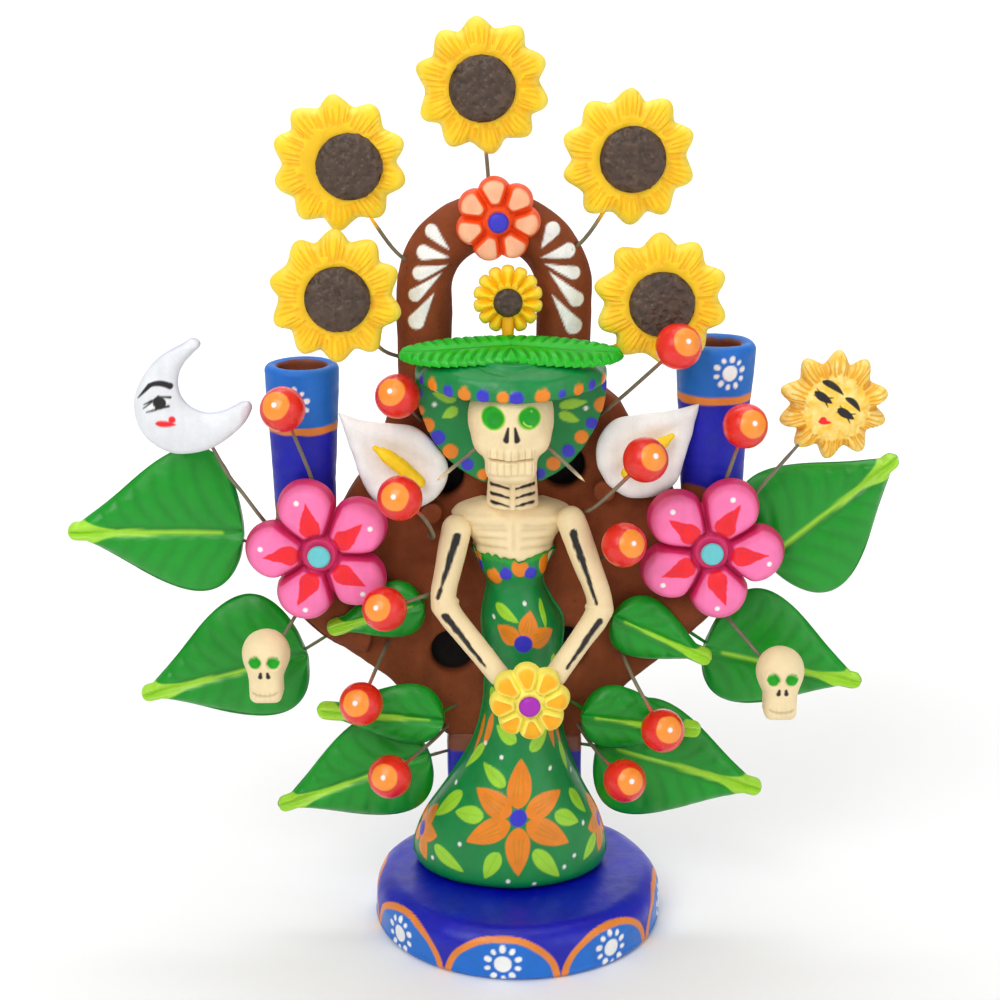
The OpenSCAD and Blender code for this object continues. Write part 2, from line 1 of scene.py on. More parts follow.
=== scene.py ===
import math
import bmesh
import bpy
import numpy as np
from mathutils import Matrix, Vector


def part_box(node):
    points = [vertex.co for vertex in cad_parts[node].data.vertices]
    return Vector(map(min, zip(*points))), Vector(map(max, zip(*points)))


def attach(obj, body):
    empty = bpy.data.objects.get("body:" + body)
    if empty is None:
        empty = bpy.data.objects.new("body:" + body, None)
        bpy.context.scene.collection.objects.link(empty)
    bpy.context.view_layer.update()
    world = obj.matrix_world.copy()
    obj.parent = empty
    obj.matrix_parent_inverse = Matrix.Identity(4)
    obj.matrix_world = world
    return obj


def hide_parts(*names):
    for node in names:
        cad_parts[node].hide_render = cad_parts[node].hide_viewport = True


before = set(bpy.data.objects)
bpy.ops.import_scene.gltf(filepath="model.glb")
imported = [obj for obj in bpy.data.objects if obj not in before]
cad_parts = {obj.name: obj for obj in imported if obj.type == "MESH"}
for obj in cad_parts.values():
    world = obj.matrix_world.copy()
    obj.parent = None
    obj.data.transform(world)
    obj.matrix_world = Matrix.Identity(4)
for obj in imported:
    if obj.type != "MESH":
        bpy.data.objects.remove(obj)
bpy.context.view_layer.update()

# Everything below is worked out in millimetres; a mesh is scaled to metres when it is made.
MM = 0.001

# ---------------------------------------------------------------- colours, as sRGB from 0 to 255

ULTRAMARINE = (2, 10, 176)
CERULEAN = (2, 108, 205)
BAND_ORANGE = (232, 134, 40)
TERRACOTTA = (132, 66, 34)
LEAF_GREEN = (2, 149, 26)
LIME = (160, 218, 48)
EMERALD = (0, 136, 62)
HAT_LEAF = (6, 184, 8)
CREAM = (246, 224, 176)
EYE_GREEN = (0, 168, 14)
BLACK = (26, 22, 22)
WHITE = (246, 246, 244)
SUN_YELLOW = (255, 212, 8)
GOLD = (252, 182, 0)
LEMON = (255, 240, 104)
SEED_BROWN = (74, 55, 42)
PINK = (252, 122, 180)
DEEP_PINK = (212, 42, 104)
RED_STROKE = (246, 24, 34)
TURQUOISE = (104, 202, 208)
ORANGE_RED = (248, 84, 10)
PEACH = (255, 188, 146)
VIOLET_BLUE = (52, 50, 198)
PURPLE = (172, 32, 182)
BERRY_RED = (232, 34, 22)
BERRY_ORANGE = (255, 150, 46)
WIRE_GREY = (126, 118, 96)
FLOWER_ORANGE = (238, 134, 18)
OLIVE = (150, 132, 10)


def linear(srgb):
    """An sRGB colour from 0 to 255 as the linear one that the shaders use"""
    c = np.array(srgb, float) / 255
    return np.where(c <= 0.04045, c / 12.92, ((c + 0.055) / 1.055) ** 2.4)


# ---------------------------------------------------------------- numbers that vary over a surface


def lattice(ix, iy, iz, seed):
    """A fixed number from -1 to 1 for each corner of a cubic lattice"""
    h = (ix * 374761393 + iy * 668265263 + iz * 1440662683 + seed * 97911) & 0xFFFFFFFF
    h = ((h ^ (h >> 13)) * 1274126177) & 0xFFFFFFFF
    return ((h ^ (h >> 16)) & 0xFFFF) / 32767.5 - 1


def noise(p, lump, seed=0):
    """Smooth noise from -1 to 1 at points p, with lumps of about this size"""
    q = np.asarray(p) / lump + 500
    i = np.floor(q).astype(np.int64)
    f = q - i
    f = f * f * (3 - 2 * f)
    total = 0
    for dx in (0, 1):
        for dy in (0, 1):
            for dz in (0, 1):
                share = 1
                for k, d in enumerate((dx, dy, dz)):
                    share = share * (f[..., k] if d else 1 - f[..., k])
                total = total + share * lattice(i[..., 0] + dx, i[..., 1] + dy, i[..., 2] + dz, seed)
    return total


def smooth(low, high, x):
    """0 below low, 1 above high, and an even slope between; high may be the lower of the two"""
    t = np.clip((x - low) / (high - low), 0, 1)
    return t * t * (3 - 2 * t)


def inside(distance, soft=0.22):
    """How far a point is painted, where distance is negative inside the stroke"""
    return smooth(soft, -soft, distance)


def polar(r, a):
    """A point at a radius and an angle"""
    return r * math.cos(a), r * math.sin(a)


def disc(x, z, at, r):
    return np.hypot(x - at[0], z - at[1]) - r


def stroke(x, z, start, end, r_start, r_end, bow=0.0):
    """Distance to a brush stroke from start to end, whose half width goes from r_start to r_end and
    which bows sideways by this much in its middle"""
    sx, sz = start
    ex, ez = end
    length = math.hypot(ex - sx, ez - sz)
    ux, uz = (ex - sx) / length, (ez - sz) / length
    along = (x - sx) * ux + (z - sz) * uz
    t = np.clip(along / length, 0, 1)
    across = (z - sz) * ux - (x - sx) * uz - bow * 4 * t * (1 - t)
    return np.hypot(along - t * length, across) - (r_start + (r_end - r_start) * t)


def teardrop(x, z, fat, tip, r):
    """Distance to a drop with its round end at fat, narrowing to a point at tip"""
    return stroke(x, z, fat, tip, r, 0.05)


def leaf_mark(x, z, root, tip, half, bow=0.0):
    """Distance to a small painted leaf or petal from its root to its tip"""
    rx, rz = root
    tx, tz = tip
    length = math.hypot(tx - rx, tz - rz)
    ux, uz = (tx - rx) / length, (tz - rz) / length
    t = ((x - rx) * ux + (z - rz) * uz) / length
    inner = np.clip(t, 0, 1)
    across = (z - rz) * ux - (x - rx) * uz - bow * 4 * inner * (1 - inner)
    width = half * np.sin(math.pi * inner ** 0.72) ** 0.8
    beyond = np.maximum(np.maximum(-t, t - 1), 0) * length
    return np.hypot(np.maximum(np.abs(across) - width, 0), beyond) - np.minimum(
        np.maximum(width - np.abs(across), 0), 1) - 0.05


# ---------------------------------------------------------------- a surface that is modelled and painted


class Surface:
    """Points in mm, the faces between them, and the paint on each point"""

    def __init__(self, points, quads, tris=(), colour=WHITE):
        self.p = np.array(points, float)
        self.quads = np.array(quads, np.int64).reshape(-1, 4)
        self.tris = np.array(tris, np.int64).reshape(-1, 3)
        self.colour = np.tile(linear(colour), (len(self.p), 1))
        self.lift = np.zeros(len(self.p))
        if self.volume() < 0:
            self.quads, self.tris = self.quads[:, ::-1], self.tris[:, ::-1]

    @property
    def x(self):
        return self.p[:, 0]

    @property
    def y(self):
        return self.p[:, 1]

    @property
    def z(self):
        return self.p[:, 2]

    def volume(self):
        middle = self.p.mean(0)
        total = 0
        for f in (self.quads, self.tris):
            for k in range(1, f.shape[1] - 1):
                a, b, c = (self.p[f[:, j]] - middle for j in (0, k, k + 1))
                total += np.einsum("ij,ij->i", a, np.cross(b, c)).sum()
        return total

    def normals(self):
        n = np.zeros_like(self.p)
        for f in (self.quads, self.tris):
            if len(f):
                face = np.cross(self.p[f[:, 2]] - self.p[f[:, 0]], self.p[f[:, -1]] - self.p[f[:, 1]])
                for k in range(f.shape[1]):
                    np.add.at(n, f[:, k], face)
        return n / np.maximum(np.linalg.norm(n, axis=1, keepdims=True), 1e-12)

    def push(self, amount):
        """Moves the points along their normals, outwards if amount is positive"""
        self.p += self.normals() * np.asarray(amount)[..., None]

    def relax(self, times, share=0.5):
        """Smooths the shape: each point moves towards its neighbours' middle"""
        edges = np.concatenate([f[:, [k, (k + 1) % f.shape[1]]] for f in (self.quads, self.tris)
                                for k in range(f.shape[1]) if len(f)])
        edges = np.concatenate([edges, edges[:, ::-1]])
        count = np.bincount(edges[:, 0], minlength=len(self.p))[:, None]
        for _ in range(times):
            mean = np.stack([np.bincount(edges[:, 0], self.p[edges[:, 1], k], len(self.p))
                             for k in range(3)], 1) / np.maximum(count, 1)
            self.p += share * (mean - self.p)

    def lay(self, mask, colour, lift=0.0):
        """Paints colour where mask is 1, and lets the paint stand proud by lift"""
        m = np.asarray(mask, float)
        self.colour += m[:, None] * (linear(colour) - self.colour)
        self.lift = self.lift * (1 - m) + m * lift

    def shade(self, factor):
        self.colour = self.colour * np.asarray(factor)[:, None]

    def mottle(self, amount, lump, seed):
        """Uneven paint: lighter and darker patches of about this size"""
        self.shade(1 + amount * noise(self.p, lump, seed))

    def front(self):
        """1 where the surface faces the front, 0 where it faces back"""
        return smooth(0.05, -0.25, self.normals()[:, 1])


def join(parts):
    """Several surfaces as one, still separate shells"""
    points, quads, tris, colour, lift, base = [], [], [], [], [], 0
    for s in parts:
        points.append(s.p)
        quads.append(s.quads + base)
        tris.append(s.tris + base)
        colour.append(s.colour)
        lift.append(s.lift)
        base += len(s.p)
    out = Surface(np.concatenate(points), np.concatenate(quads), np.concatenate(tris))
    out.colour, out.lift = np.concatenate(colour), np.concatenate(lift)
    return out


def make(name, surface, finish, slot, *nodes):
    """Makes the Blender object of a surface, which stands for these CAD nodes"""
    surface.p += surface.normals() * surface.lift[:, None]
    mesh = bpy.data.meshes.new(name)
    sizes = np.concatenate([np.full(len(surface.quads), 4), np.full(len(surface.tris), 3)])
    corners = np.concatenate([surface.quads.ravel(), surface.tris.ravel()])
    mesh.vertices.add(len(surface.p))
    mesh.vertices.foreach_set("co", (surface.p * MM).astype(np.float32).ravel())
    mesh.loops.add(len(corners))
    mesh.loops.foreach_set("vertex_index", corners.astype(np.int32))
    mesh.polygons.add(len(sizes))
    mesh.polygons.foreach_set("loop_start", (np.cumsum(sizes) - sizes).astype(np.int32))
    mesh.polygons.foreach_set("use_smooth", np.ones(len(sizes), bool))
    mesh.update(calc_edges=True)
    mesh.validate()
    paint = mesh.color_attributes.new("paint", "FLOAT_COLOR", "POINT")
    rgba = np.ones((len(surface.p), 4), np.float32)
    rgba[:, :3] = np.clip(surface.colour, 0, 1)
    paint.data.foreach_set("color", rgba.ravel())
    obj = bpy.data.objects.new(name, mesh)
    bpy.context.scene.collection.objects.link(obj)
    mesh.materials.append(finish)
    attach(obj, "root")
    if nodes:
        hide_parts(*nodes)
    return obj


# ---------------------------------------------------------------- ways to build a surface


def strip(rows, columns, wrap=True):
    """The quads of a grid of rows by columns; with wrap, each row closes on itself"""
    r = np.arange(rows - 1)[:, None]
    c = np.arange(columns if wrap else columns - 1)[None, :]
    n = (c + 1) % columns
    return np.stack([r * columns + c, r * columns + n, (r + 1) * columns + n, (r + 1) * columns + c],
                    -1).reshape(-1, 4)


def closed_rows(grid, colour=WHITE):
    """A closed surface from rows of points, each row a ring: its first and last rows are capped"""
    rows, columns = grid.shape[:2]
    points = np.concatenate([grid.reshape(-1, 3), grid[:1].mean(1), grid[-1:].mean(1)])
    quads = strip(rows, columns)
    c = np.arange(columns)
    n = (c + 1) % columns
    top, bottom = rows * columns, rows * columns + 1
    first = np.stack([np.full(columns, top), n, c], 1)
    last = np.stack([np.full(columns, bottom), (rows - 1) * columns + c, (rows - 1) * columns + n], 1)
    return Surface(points, quads, np.concatenate([first, last]), colour)


def rim_shares(across, power=8.0, wall=12):
    """Shares of the radius from near 0 to 1 and the height there, for a plate with a rounded rim.
    The points are close together where the rim turns down"""
    flat = np.linspace(0, 0.86, across)[1:]
    start = math.acos((1 - 0.86 ** power) ** 0.5)
    turn = np.linspace(start, math.pi / 2, wall)[1:]
    share = np.concatenate([flat, np.sin(turn) ** (2 / power)])
    height = np.concatenate([(1 - flat ** power) ** 0.5, np.cos(turn)])
    return share, height


def plate(at, back, thick, outline, face, around=240, across=34, power=8.0, colour=WHITE, front_low=0.0):
    """A round piece that faces the front. outline gives its radius by angle; face gives the height of
    its front, as a share of its thickness, from the share of the radius, the angle, and x and z from
    its middle. at is its middle in x and z, back the y of its flat back"""
    angle = np.linspace(0, 2 * math.pi, around, endpoint=False)
    share, rim = rim_shares(across, power)
    radius = outline(angle)
    s, a = np.meshgrid(share, angle, indexing="ij")
    x, z = radius * s * np.cos(a), radius * s * np.sin(a)
    high = rim[:, None] * face(s, a, x, z)
    high = front_low + (1 - front_low) * high
    rows = [np.stack([at[0] + x, back - thick * high, at[1] + z], -1)]
    for back_share in (0.985, 0.9, 0.6, 0.2):
        k = radius * back_share
        flat = np.full_like(k, back)
        rows.append(np.stack([at[0] + k * np.cos(angle), flat, at[1] + k * np.sin(angle)], -1)[None])
    return closed_rows(np.concatenate(rows), colour)


def tube(path, radius, sides=16, colour=WHITE, ends=True, flat=1.0):
    """A round tube along a path of points; radius is one number or one for each point, and with ends
    its two ends are rounded"""
    path = np.array(path, float)
    radius = np.broadcast_to(np.asarray(radius, float), (len(path),)).copy()
    along = np.gradient(path, axis=0)
    along /= np.linalg.norm(along, axis=1, keepdims=True)
    if ends:
        turn = np.radians([15, 35, 55, 75])
        head = [path[0] - along[0] * radius[0] * math.cos(t) for t in turn]
        tail = [path[-1] + along[-1] * radius[-1] * math.cos(t) for t in turn[::-1]]
        path = np.concatenate([head, path, tail])
        radius = np.concatenate([radius[0] * np.sin(turn), radius, radius[-1] * np.sin(turn[::-1])])
        along = np.concatenate([np.tile(along[0], (4, 1)), along, np.tile(along[-1], (4, 1))])
    side = np.cross(along, [0.21, 0.93, 0.3])
    side /= np.linalg.norm(side, axis=1, keepdims=True)
    for k in range(1, len(side)):
        s = side[k - 1] - along[k] * (side[k - 1] @ along[k])
        side[k] = s / np.linalg.norm(s)
    up = np.cross(along, side)
    a = np.linspace(0, 2 * math.pi, sides, endpoint=False)[None, :, None]
    ring = side[:, None] * np.cos(a) + up[:, None] * np.sin(a) * flat
    return closed_rows(path[:, None] + radius[:, None, None] * ring, colour)


def curve(points, steps):
    """A smooth curve through points, with this many steps along each span"""
    p = np.array(points, float)
    out = []
    for i in range(len(p) - 1):
        a, b, c, d = p[max(i - 1, 0)], p[i], p[i + 1], p[min(i + 2, len(p) - 1)]
        for u in np.arange(steps) / steps:
            out.append((2 * b + (c - a) * u + (2 * a - 5 * b + 4 * c - d) * u * u
                        + (3 * b - a - 3 * c + d) * u ** 3) / 2)
    return np.array(out + [p[-1]])


def cast(middle, field, detail=6, reach=45.0, colour=WHITE):
    """A surface modelled as a distance field that every ray from its middle leaves once"""
    mesh = bpy.data.meshes.new("cast")
    bm = bmesh.new()
    bmesh.ops.create_icosphere(bm, subdivisions=detail, radius=1)
    bm.to_mesh(mesh)
    bm.free()
    ray = np.zeros(len(mesh.vertices) * 3, np.float32)
    mesh.vertices.foreach_get("co", ray)
    ray = ray.reshape(-1, 3).astype(float)
    ray /= np.linalg.norm(ray, axis=1, keepdims=True)
    tris = np.zeros(len(mesh.polygons) * 3, np.int32)
    mesh.polygons.foreach_get("vertices", tris)
    bpy.data.meshes.remove(mesh)
    middle = np.array(middle, float)
    r = np.full(len(ray), reach)
    for _ in range(50):
        r = np.maximum(r - 0.6 * field(middle + ray * r[:, None]), 0.5)
    return Surface(middle + ray * r[:, None], [], tris.reshape(-1, 3), colour)


def blend(a, b, k):
    """The union of two distance fields, with a fillet of about k between them"""
    h = np.clip(0.5 + 0.5 * (b - a) / k, 0, 1)
    return b + (a - b) * h - k * h * (1 - h)


def egg(p, at, radii):
    """Distance to an ellipsoid, nearly"""
    q = (p - np.array(at)) / np.array(radii)
    k = np.linalg.norm(q, axis=1)
    g = np.linalg.norm(q / np.array(radii), axis=1)
    return k * (k - 1) / np.maximum(g, 1e-6)


def block(p, at, half, round_r):
    """Distance to a box with rounded edges"""
    q = np.abs(p - np.array(at)) - (np.array(half) - round_r)
    return np.linalg.norm(np.maximum(q, 0), axis=1) + np.minimum(q.max(1), 0) - round_r


def shells(node):
    """The separate shells of a CAD node in mm: for each, its points, its faces, and the corners' order"""
    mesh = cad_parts[node].data
    co = np.zeros(len(mesh.vertices) * 3, np.float32)
    mesh.vertices.foreach_get("co", co)
    co = co.reshape(-1, 3).astype(float) / MM
    _, first, weld = np.unique(np.round(co, 3), axis=0, return_index=True, return_inverse=True)
    weld = weld.reshape(-1)
    faces = np.array([[weld[i] for i in f.vertices] for f in mesh.polygons])
    mark = np.arange(len(first))
    while True:
        low = mark[faces].min(1)
        new = mark.copy()
        for k in range(faces.shape[1]):
            np.minimum.at(new, faces[:, k], low)
        if (new == mark).all():
            break
        mark = new
    points = co[first]
    out = []
    for m in np.unique(mark[faces]):
        rows = faces[mark[faces[:, 0]] == m]
        used, local = np.unique(rows, return_inverse=True)
        out.append((points[used], local.reshape(rows.shape)))
    return out


def spans(node):
    """Lowest and highest corners, in mm, of each shell of a CAD node, from left to right"""
    boxes = [(p.min(0), p.max(0)) for p, _ in shells(node)]
    return sorted(boxes, key=lambda b: b[0][0] + b[1][0])


def box_mm(node):
    lo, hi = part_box(node)
    return np.array(lo) / MM, np.array(hi) / MM


def softened(node, voxel, relaxed, colour):
    """A CAD node's own shape as hand-worked clay: its mesh rebuilt evenly, with its edges rounded"""
    points, faces, base = [], [], 0
    for p, f in shells(node):
        points.append(p)
        faces.append(f + base)
        base += len(p)
    mesh = bpy.data.meshes.new("soft")
    mesh.from_pydata((np.concatenate(points)).tolist(), [], np.concatenate(faces).tolist())
    obj = bpy.data.objects.new("soft", mesh)
    bpy.context.scene.collection.objects.link(obj)
    mod = obj.modifiers.new("even", "REMESH")
    mod.mode = "VOXEL"
    mod.voxel_size = voxel
    mod.adaptivity = 0
    done = obj.evaluated_get(bpy.context.evaluated_depsgraph_get()).to_mesh()
    co = np.zeros(len(done.vertices) * 3, np.float32)
    done.vertices.foreach_get("co", co)
    quads = np.array([list(f.vertices) for f in done.polygons if len(f.vertices) == 4])
    tris = np.array([list(f.vertices) for f in done.polygons if len(f.vertices) == 3])
    out = Surface(co.reshape(-1, 3), quads, tris, colour)
    bpy.data.objects.remove(obj)
    bpy.data.meshes.remove(mesh)
    out.relax(relaxed)
    return out


# ---------------------------------------------------------------- materials


def painted(name, rough=0.42, variation=0.05, grain=0.12, streaks=0.0, coat=0.0, metal=0.0,
            pits=0.0, spec=0.5):
    """Hand-laid paint over clay: the piece's own colours, made uneven, with brush marks and grain"""
    mat = bpy.data.materials.new(name)
    mat.use_nodes = True
    tree = mat.node_tree
    tree.nodes.clear()
    new, link = tree.nodes.new, tree.links.new
    out, shader = new("ShaderNodeOutputMaterial"), new("ShaderNodeBsdfPrincipled")
    link(shader.outputs[0], out.inputs[0])
    shader.inputs["Metallic"].default_value = metal
    shader.inputs["Coat Weight"].default_value = coat
    shader.inputs["Coat Roughness"].default_value = 0.25
    shader.inputs["Specular IOR Level"].default_value = spec
    place = new("ShaderNodeTexCoord").outputs["Object"]
    paint = new("ShaderNodeAttribute")
    paint.attribute_name = "paint"

    def cloud(scale, detail, stretch=None):
        n = new("ShaderNodeTexNoise")
        n.inputs["Scale"].default_value = scale
        n.inputs["Detail"].default_value = detail
        if stretch:
            m = new("ShaderNodeMapping")
            m.inputs["Scale"].default_value = stretch
            link(place, m.inputs[0])
            link(m.outputs[0], n.inputs["Vector"])
        else:
            link(place, n.inputs["Vector"])
        return n.outputs["Fac"]

    def spread(value, low, high, source_low=0.3, source_high=0.7):
        m = new("ShaderNodeMapRange")
        m.inputs["From Min"].default_value = source_low
        m.inputs["From Max"].default_value = source_high
        m.inputs["To Min"].default_value = low
        m.inputs["To Max"].default_value = high
        link(value, m.inputs[0])
        return m.outputs[0]

    def times(a, b):
        m = new("ShaderNodeMath")
        m.operation = "MULTIPLY"
        link(a, m.inputs[0])
        link(b, m.inputs[1])
        return m.outputs[0]

    def plus(a, b):
        m = new("ShaderNodeMath")
        m.operation = "ADD"
        link(a, m.inputs[0])
        link(b, m.inputs[1])
        return m.outputs[0]

    tone = spread(cloud(140, 3), 1 - variation, 1 + variation)
    fine = cloud(1500, 4)
    tone = times(tone, spread(fine, 1 - variation / 2, 1 + variation / 2))
    brushed = cloud(420, 2, (1, 1, 0.12))
    if streaks:
        tone = times(tone, spread(brushed, 1 - streaks, 1 + streaks))
    height = spread(fine, 0, grain)
    if pits:
        pit = new("ShaderNodeTexVoronoi")
        pit.inputs["Scale"].default_value = 330
        link(place, pit.inputs["Vector"])
        hole = spread(pit.outputs["Distance"], 0, 1, 0.05, 0.22)
        some = spread(cloud(300, 1), 1, 0, 0.56, 0.62)
        keep = new("ShaderNodeMath")
        keep.operation = "MAXIMUM"
        link(hole, keep.inputs[0])
        link(some, keep.inputs[1])
        tone = times(tone, spread(keep.outputs[0], 1 - pits, 1, 0, 1))
        height = plus(height, spread(keep.outputs[0], 0, 0.5, 0, 1))
    height = plus(height, spread(brushed, 0, 0.25 + 2 * streaks))
    tint = new("ShaderNodeVectorMath")
    tint.operation = "SCALE"
    link(paint.outputs["Color"], tint.inputs[0])
    link(tone, tint.inputs["Scale"])
    link(tint.outputs[0], shader.inputs["Base Color"])
    link(spread(cloud(260, 2), rough - 0.07, rough + 0.09), shader.inputs["Roughness"])
    bump = new("ShaderNodeBump")
    bump.inputs["Strength"].default_value = 0.5
    bump.inputs["Distance"].default_value = 0.00022
    link(height, bump.inputs["Height"])
    link(bump.outputs[0], shader.inputs["Normal"])
    return mat


FINISH = {
    "gloss": painted("satin_paint", rough=0.36, variation=0.05, streaks=0.03, grain=0.25),
    "berry": painted("berry_paint", rough=0.3, variation=0.03, streaks=0.02, grain=0.12, coat=0.25),
    "leaf": painted("leaf_paint", rough=0.38, variation=0.05, streaks=0.03, grain=0.22),
    "matte": painted("matte_paint", rough=0.55, variation=0.05, streaks=0.03, grain=0.35),
    "bone": painted("bone_paint", rough=0.6, variation=0.035, streaks=0.02, grain=0.4),
    "clay": painted("bare_clay", rough=0.85, variation=0.13, streaks=0.04, grain=0.9, pits=0.35, spec=0.25),
    "seed": painted("seed_paint", rough=0.42, variation=0.12, grain=0.7),
    "petal": painted("petal_paint", rough=0.5, variation=0.05, streaks=0.04, grain=0.3),
    "wire": painted("aged_wire", rough=0.48, variation=0.2, grain=0.5, metal=0.25),
}

# ---------------------------------------------------------------- base, trunk, body, arch, branches

SCALLOPS = [-54, -6, 39, 84, 128, 172, 217, 262]
SCALLOP_HIGH = 17.0
BAND_WIDE = 2.4


def dot_flower(s, u, v, at, size, dots=10, turn=0.2):
    """A big white dot with a ring of small ones, on a surface with lengths u and v across it"""
    s.lay(inside(disc(u, v, at, size)), WHITE, 0.12)
    for k in range(dots):
        a = turn + 2 * math.pi * k / dots
        far = size * (1.72 + 0.07 * math.sin(5 * k))
        small = size * (0.31 + 0.05 * math.cos(3 * k))
        spot = stroke(u, v, (at[0] + far * math.cos(a), at[1] + far * math.sin(a)),
                      (at[0] + 1.1 * far * math.cos(a), at[1] + 1.1 * far * math.sin(a)), small, small)
        s.lay(inside(spot), WHITE, 0.12)


def base():
    lo, hi = box_mm("base")
    cx, cy, r, h = (lo[0] + hi[0]) / 2, (lo[1] + hi[1]) / 2, (hi[0] - lo[0]) / 2, hi[2]
    foot, shoulder = 2.0, 7.5
    profile = [(r * k, 0.0) for k in (0.1, 0.4, 0.7, 0.9)]
    profile += [(r - foot + foot * math.sin(a), foot - foot * math.cos(a))
                for a in np.radians([0, 30, 60, 90])]
    profile += [(r - 0.2, z) for z in np.arange(foot + 0.4, h - shoulder, 0.4)]
    profile += [(r - shoulder + shoulder * math.cos(a) - 0.2, h - shoulder + shoulder * math.sin(a))
                for a in np.radians(np.arange(0, 91, 4))]
    profile += [(r - shoulder - k, h) for k in np.arange(1.2, r - shoulder - 1, 1.2)]
    profile = np.array(profile)
    turns = np.linspace(0, 2 * math.pi, 720, endpoint=False)
    grid = np.stack([cx + profile[:, :1] * np.sin(turns), cy - profile[:, :1] * np.cos(turns),
                     np.repeat(profile[:, 1:], len(turns), 1)], -1)
    s = closed_rows(grid, ULTRAMARINE)
    side = smooth(0.5, 3, s.z)
    s.push(-0.25 + side * (0.3 * noise(s.p, 16, 1) + 0.1 * noise(s.p, 5, 2)))
    run = np.concatenate([[0], np.cumsum(np.hypot(*np.diff(profile, axis=0).T))])
    run -= run[4]
    up = np.concatenate([np.repeat(run, len(turns)), run[:1], run[-1:]])
    angle = np.degrees(np.arctan2(s.x - cx, -(s.y - cy)))
    s.mottle(0.10, 9, 3)
    wave = 0.4 * noise(s.p, 6, 4)
    outer = up > -1
    for k, turn in enumerate(SCALLOPS):
        before = (turn - SCALLOPS[k - 1]) % 360 / 2
        after = (SCALLOPS[(k + 1) % len(SCALLOPS)] - turn) % 360 / 2
        place = (angle - turn + 180) % 360 - 180
        step = np.where(place < 0, before, after)
        q = place / step
        e = np.sqrt(np.abs(q) ** 2.1 + (np.maximum(up, 0) / SCALLOP_HIGH) ** 2)
        half = np.radians(step) * r
        slope = np.sqrt((q / half) ** 2 + (up / SCALLOP_HIGH ** 2) ** 2) / np.maximum(e, 1e-3)
        away = (e - 1) / np.maximum(slope, 1e-3) + wave
        own = outer * (np.abs(q) <= 1.0)
        s.lay(inside(away) * own, BAND_ORANGE, 0.1)
        s.lay(inside(away + BAND_WIDE) * own, CERULEAN, 0.06)
        dot_flower(s, np.radians(place) * r, up, (0.0, 7.5), 2.9, turn=0.3 + 1.3 * k)
    s.mottle(0.04, 2.5, 5)
    make("base", s, FINISH["gloss"], "base_blue", "base")


def trunk():
    s = softened("trunk", 0.9, 8, ULTRAMARINE)
    s.push(0.35 * noise(s.p, 13, 6))
    s.mottle(0.10, 9, 7)
    top = box_mm("trunk")[1][2]
    s.lay(smooth(top - 5.2, top - 4.6, s.z + 1.1 * noise(s.p, 5, 8)), TERRACOTTA)
    s.p[:, 2] += 1.4 * smooth(top - 3, top - 0.5, s.z)
    make("trunk", s, FINISH["gloss"], "base_blue", "trunk")


def bare(s, seed):
    """Unpainted clay: worked by hand, with broad patches of lighter and darker brown"""
    s.push(0.35 * noise(s.p, 13, seed) + 0.12 * noise(s.p, 4, seed + 1))
    s.mottle(0.10, 12, seed + 2)
    s.mottle(0.06, 3, seed + 3)


# The body's four holes, which the CAD makes as blind recesses
RECESSES = [(-25, 155), (14.5, 158), (-22, 93), (16, 94)]
RECESS_R = 7.5


def tree_body():
    s = softened("tree_body", 0.85, 16, TERRACOTTA)
    bare(s, 10)
    face = box_mm("tree_body")[0][1]
    for at in RECESSES:
        # The recess floors are painted black: painted shade standing in for the dark seen through the holes,
        # not a colour of the clay.
        deep = smooth(face + 3.2, face + 5.2, s.y) * (s.y < face + 10)
        s.lay(inside(disc(s.x, s.z, at, RECESS_R + 0.6), 0.5) * deep, BLACK)
    make("tree_body", s, FINISH["clay"], "terracotta", "tree_body")


ARCH_DROPS = [
    ((-27.5, 235.5), (-22, 230), 2.1), ((-30, 229), (-22, 227.5), 2.3), ((-31.5, 222.5), (-22.5, 225), 2.2),
    ((-33, 215.5), (-24.5, 222.5), 2.1), ((-32.7, 207), (-27, 216), 2.6),
    ((10.5, 236), (7, 230.5), 2.4), ((15.5, 229.5), (7, 227.5), 2.3), ((17.3, 222.5), (8, 225.5), 2.1),
    ((18.3, 214), (9.5, 223), 2.4), ((17.5, 205.5), (10.5, 215.5), 2.7),
]


def arch():
    s = softened("arch", 0.55, 10, TERRACOTTA)
    bare(s, 20)
    front = s.front()
    for fat, tip, r in ARCH_DROPS:
        s.lay(inside(teardrop(s.x, s.z, fat, tip, r)) * front, WHITE, 0.14)
    make("arch", s, FINISH["clay"], "terracotta", "arch")


def branch(node, seed):
    s = softened(node, 0.85, 10, TERRACOTTA)
    bare(s, seed)
    make(node, s, FINISH["clay"], "terracotta", node)


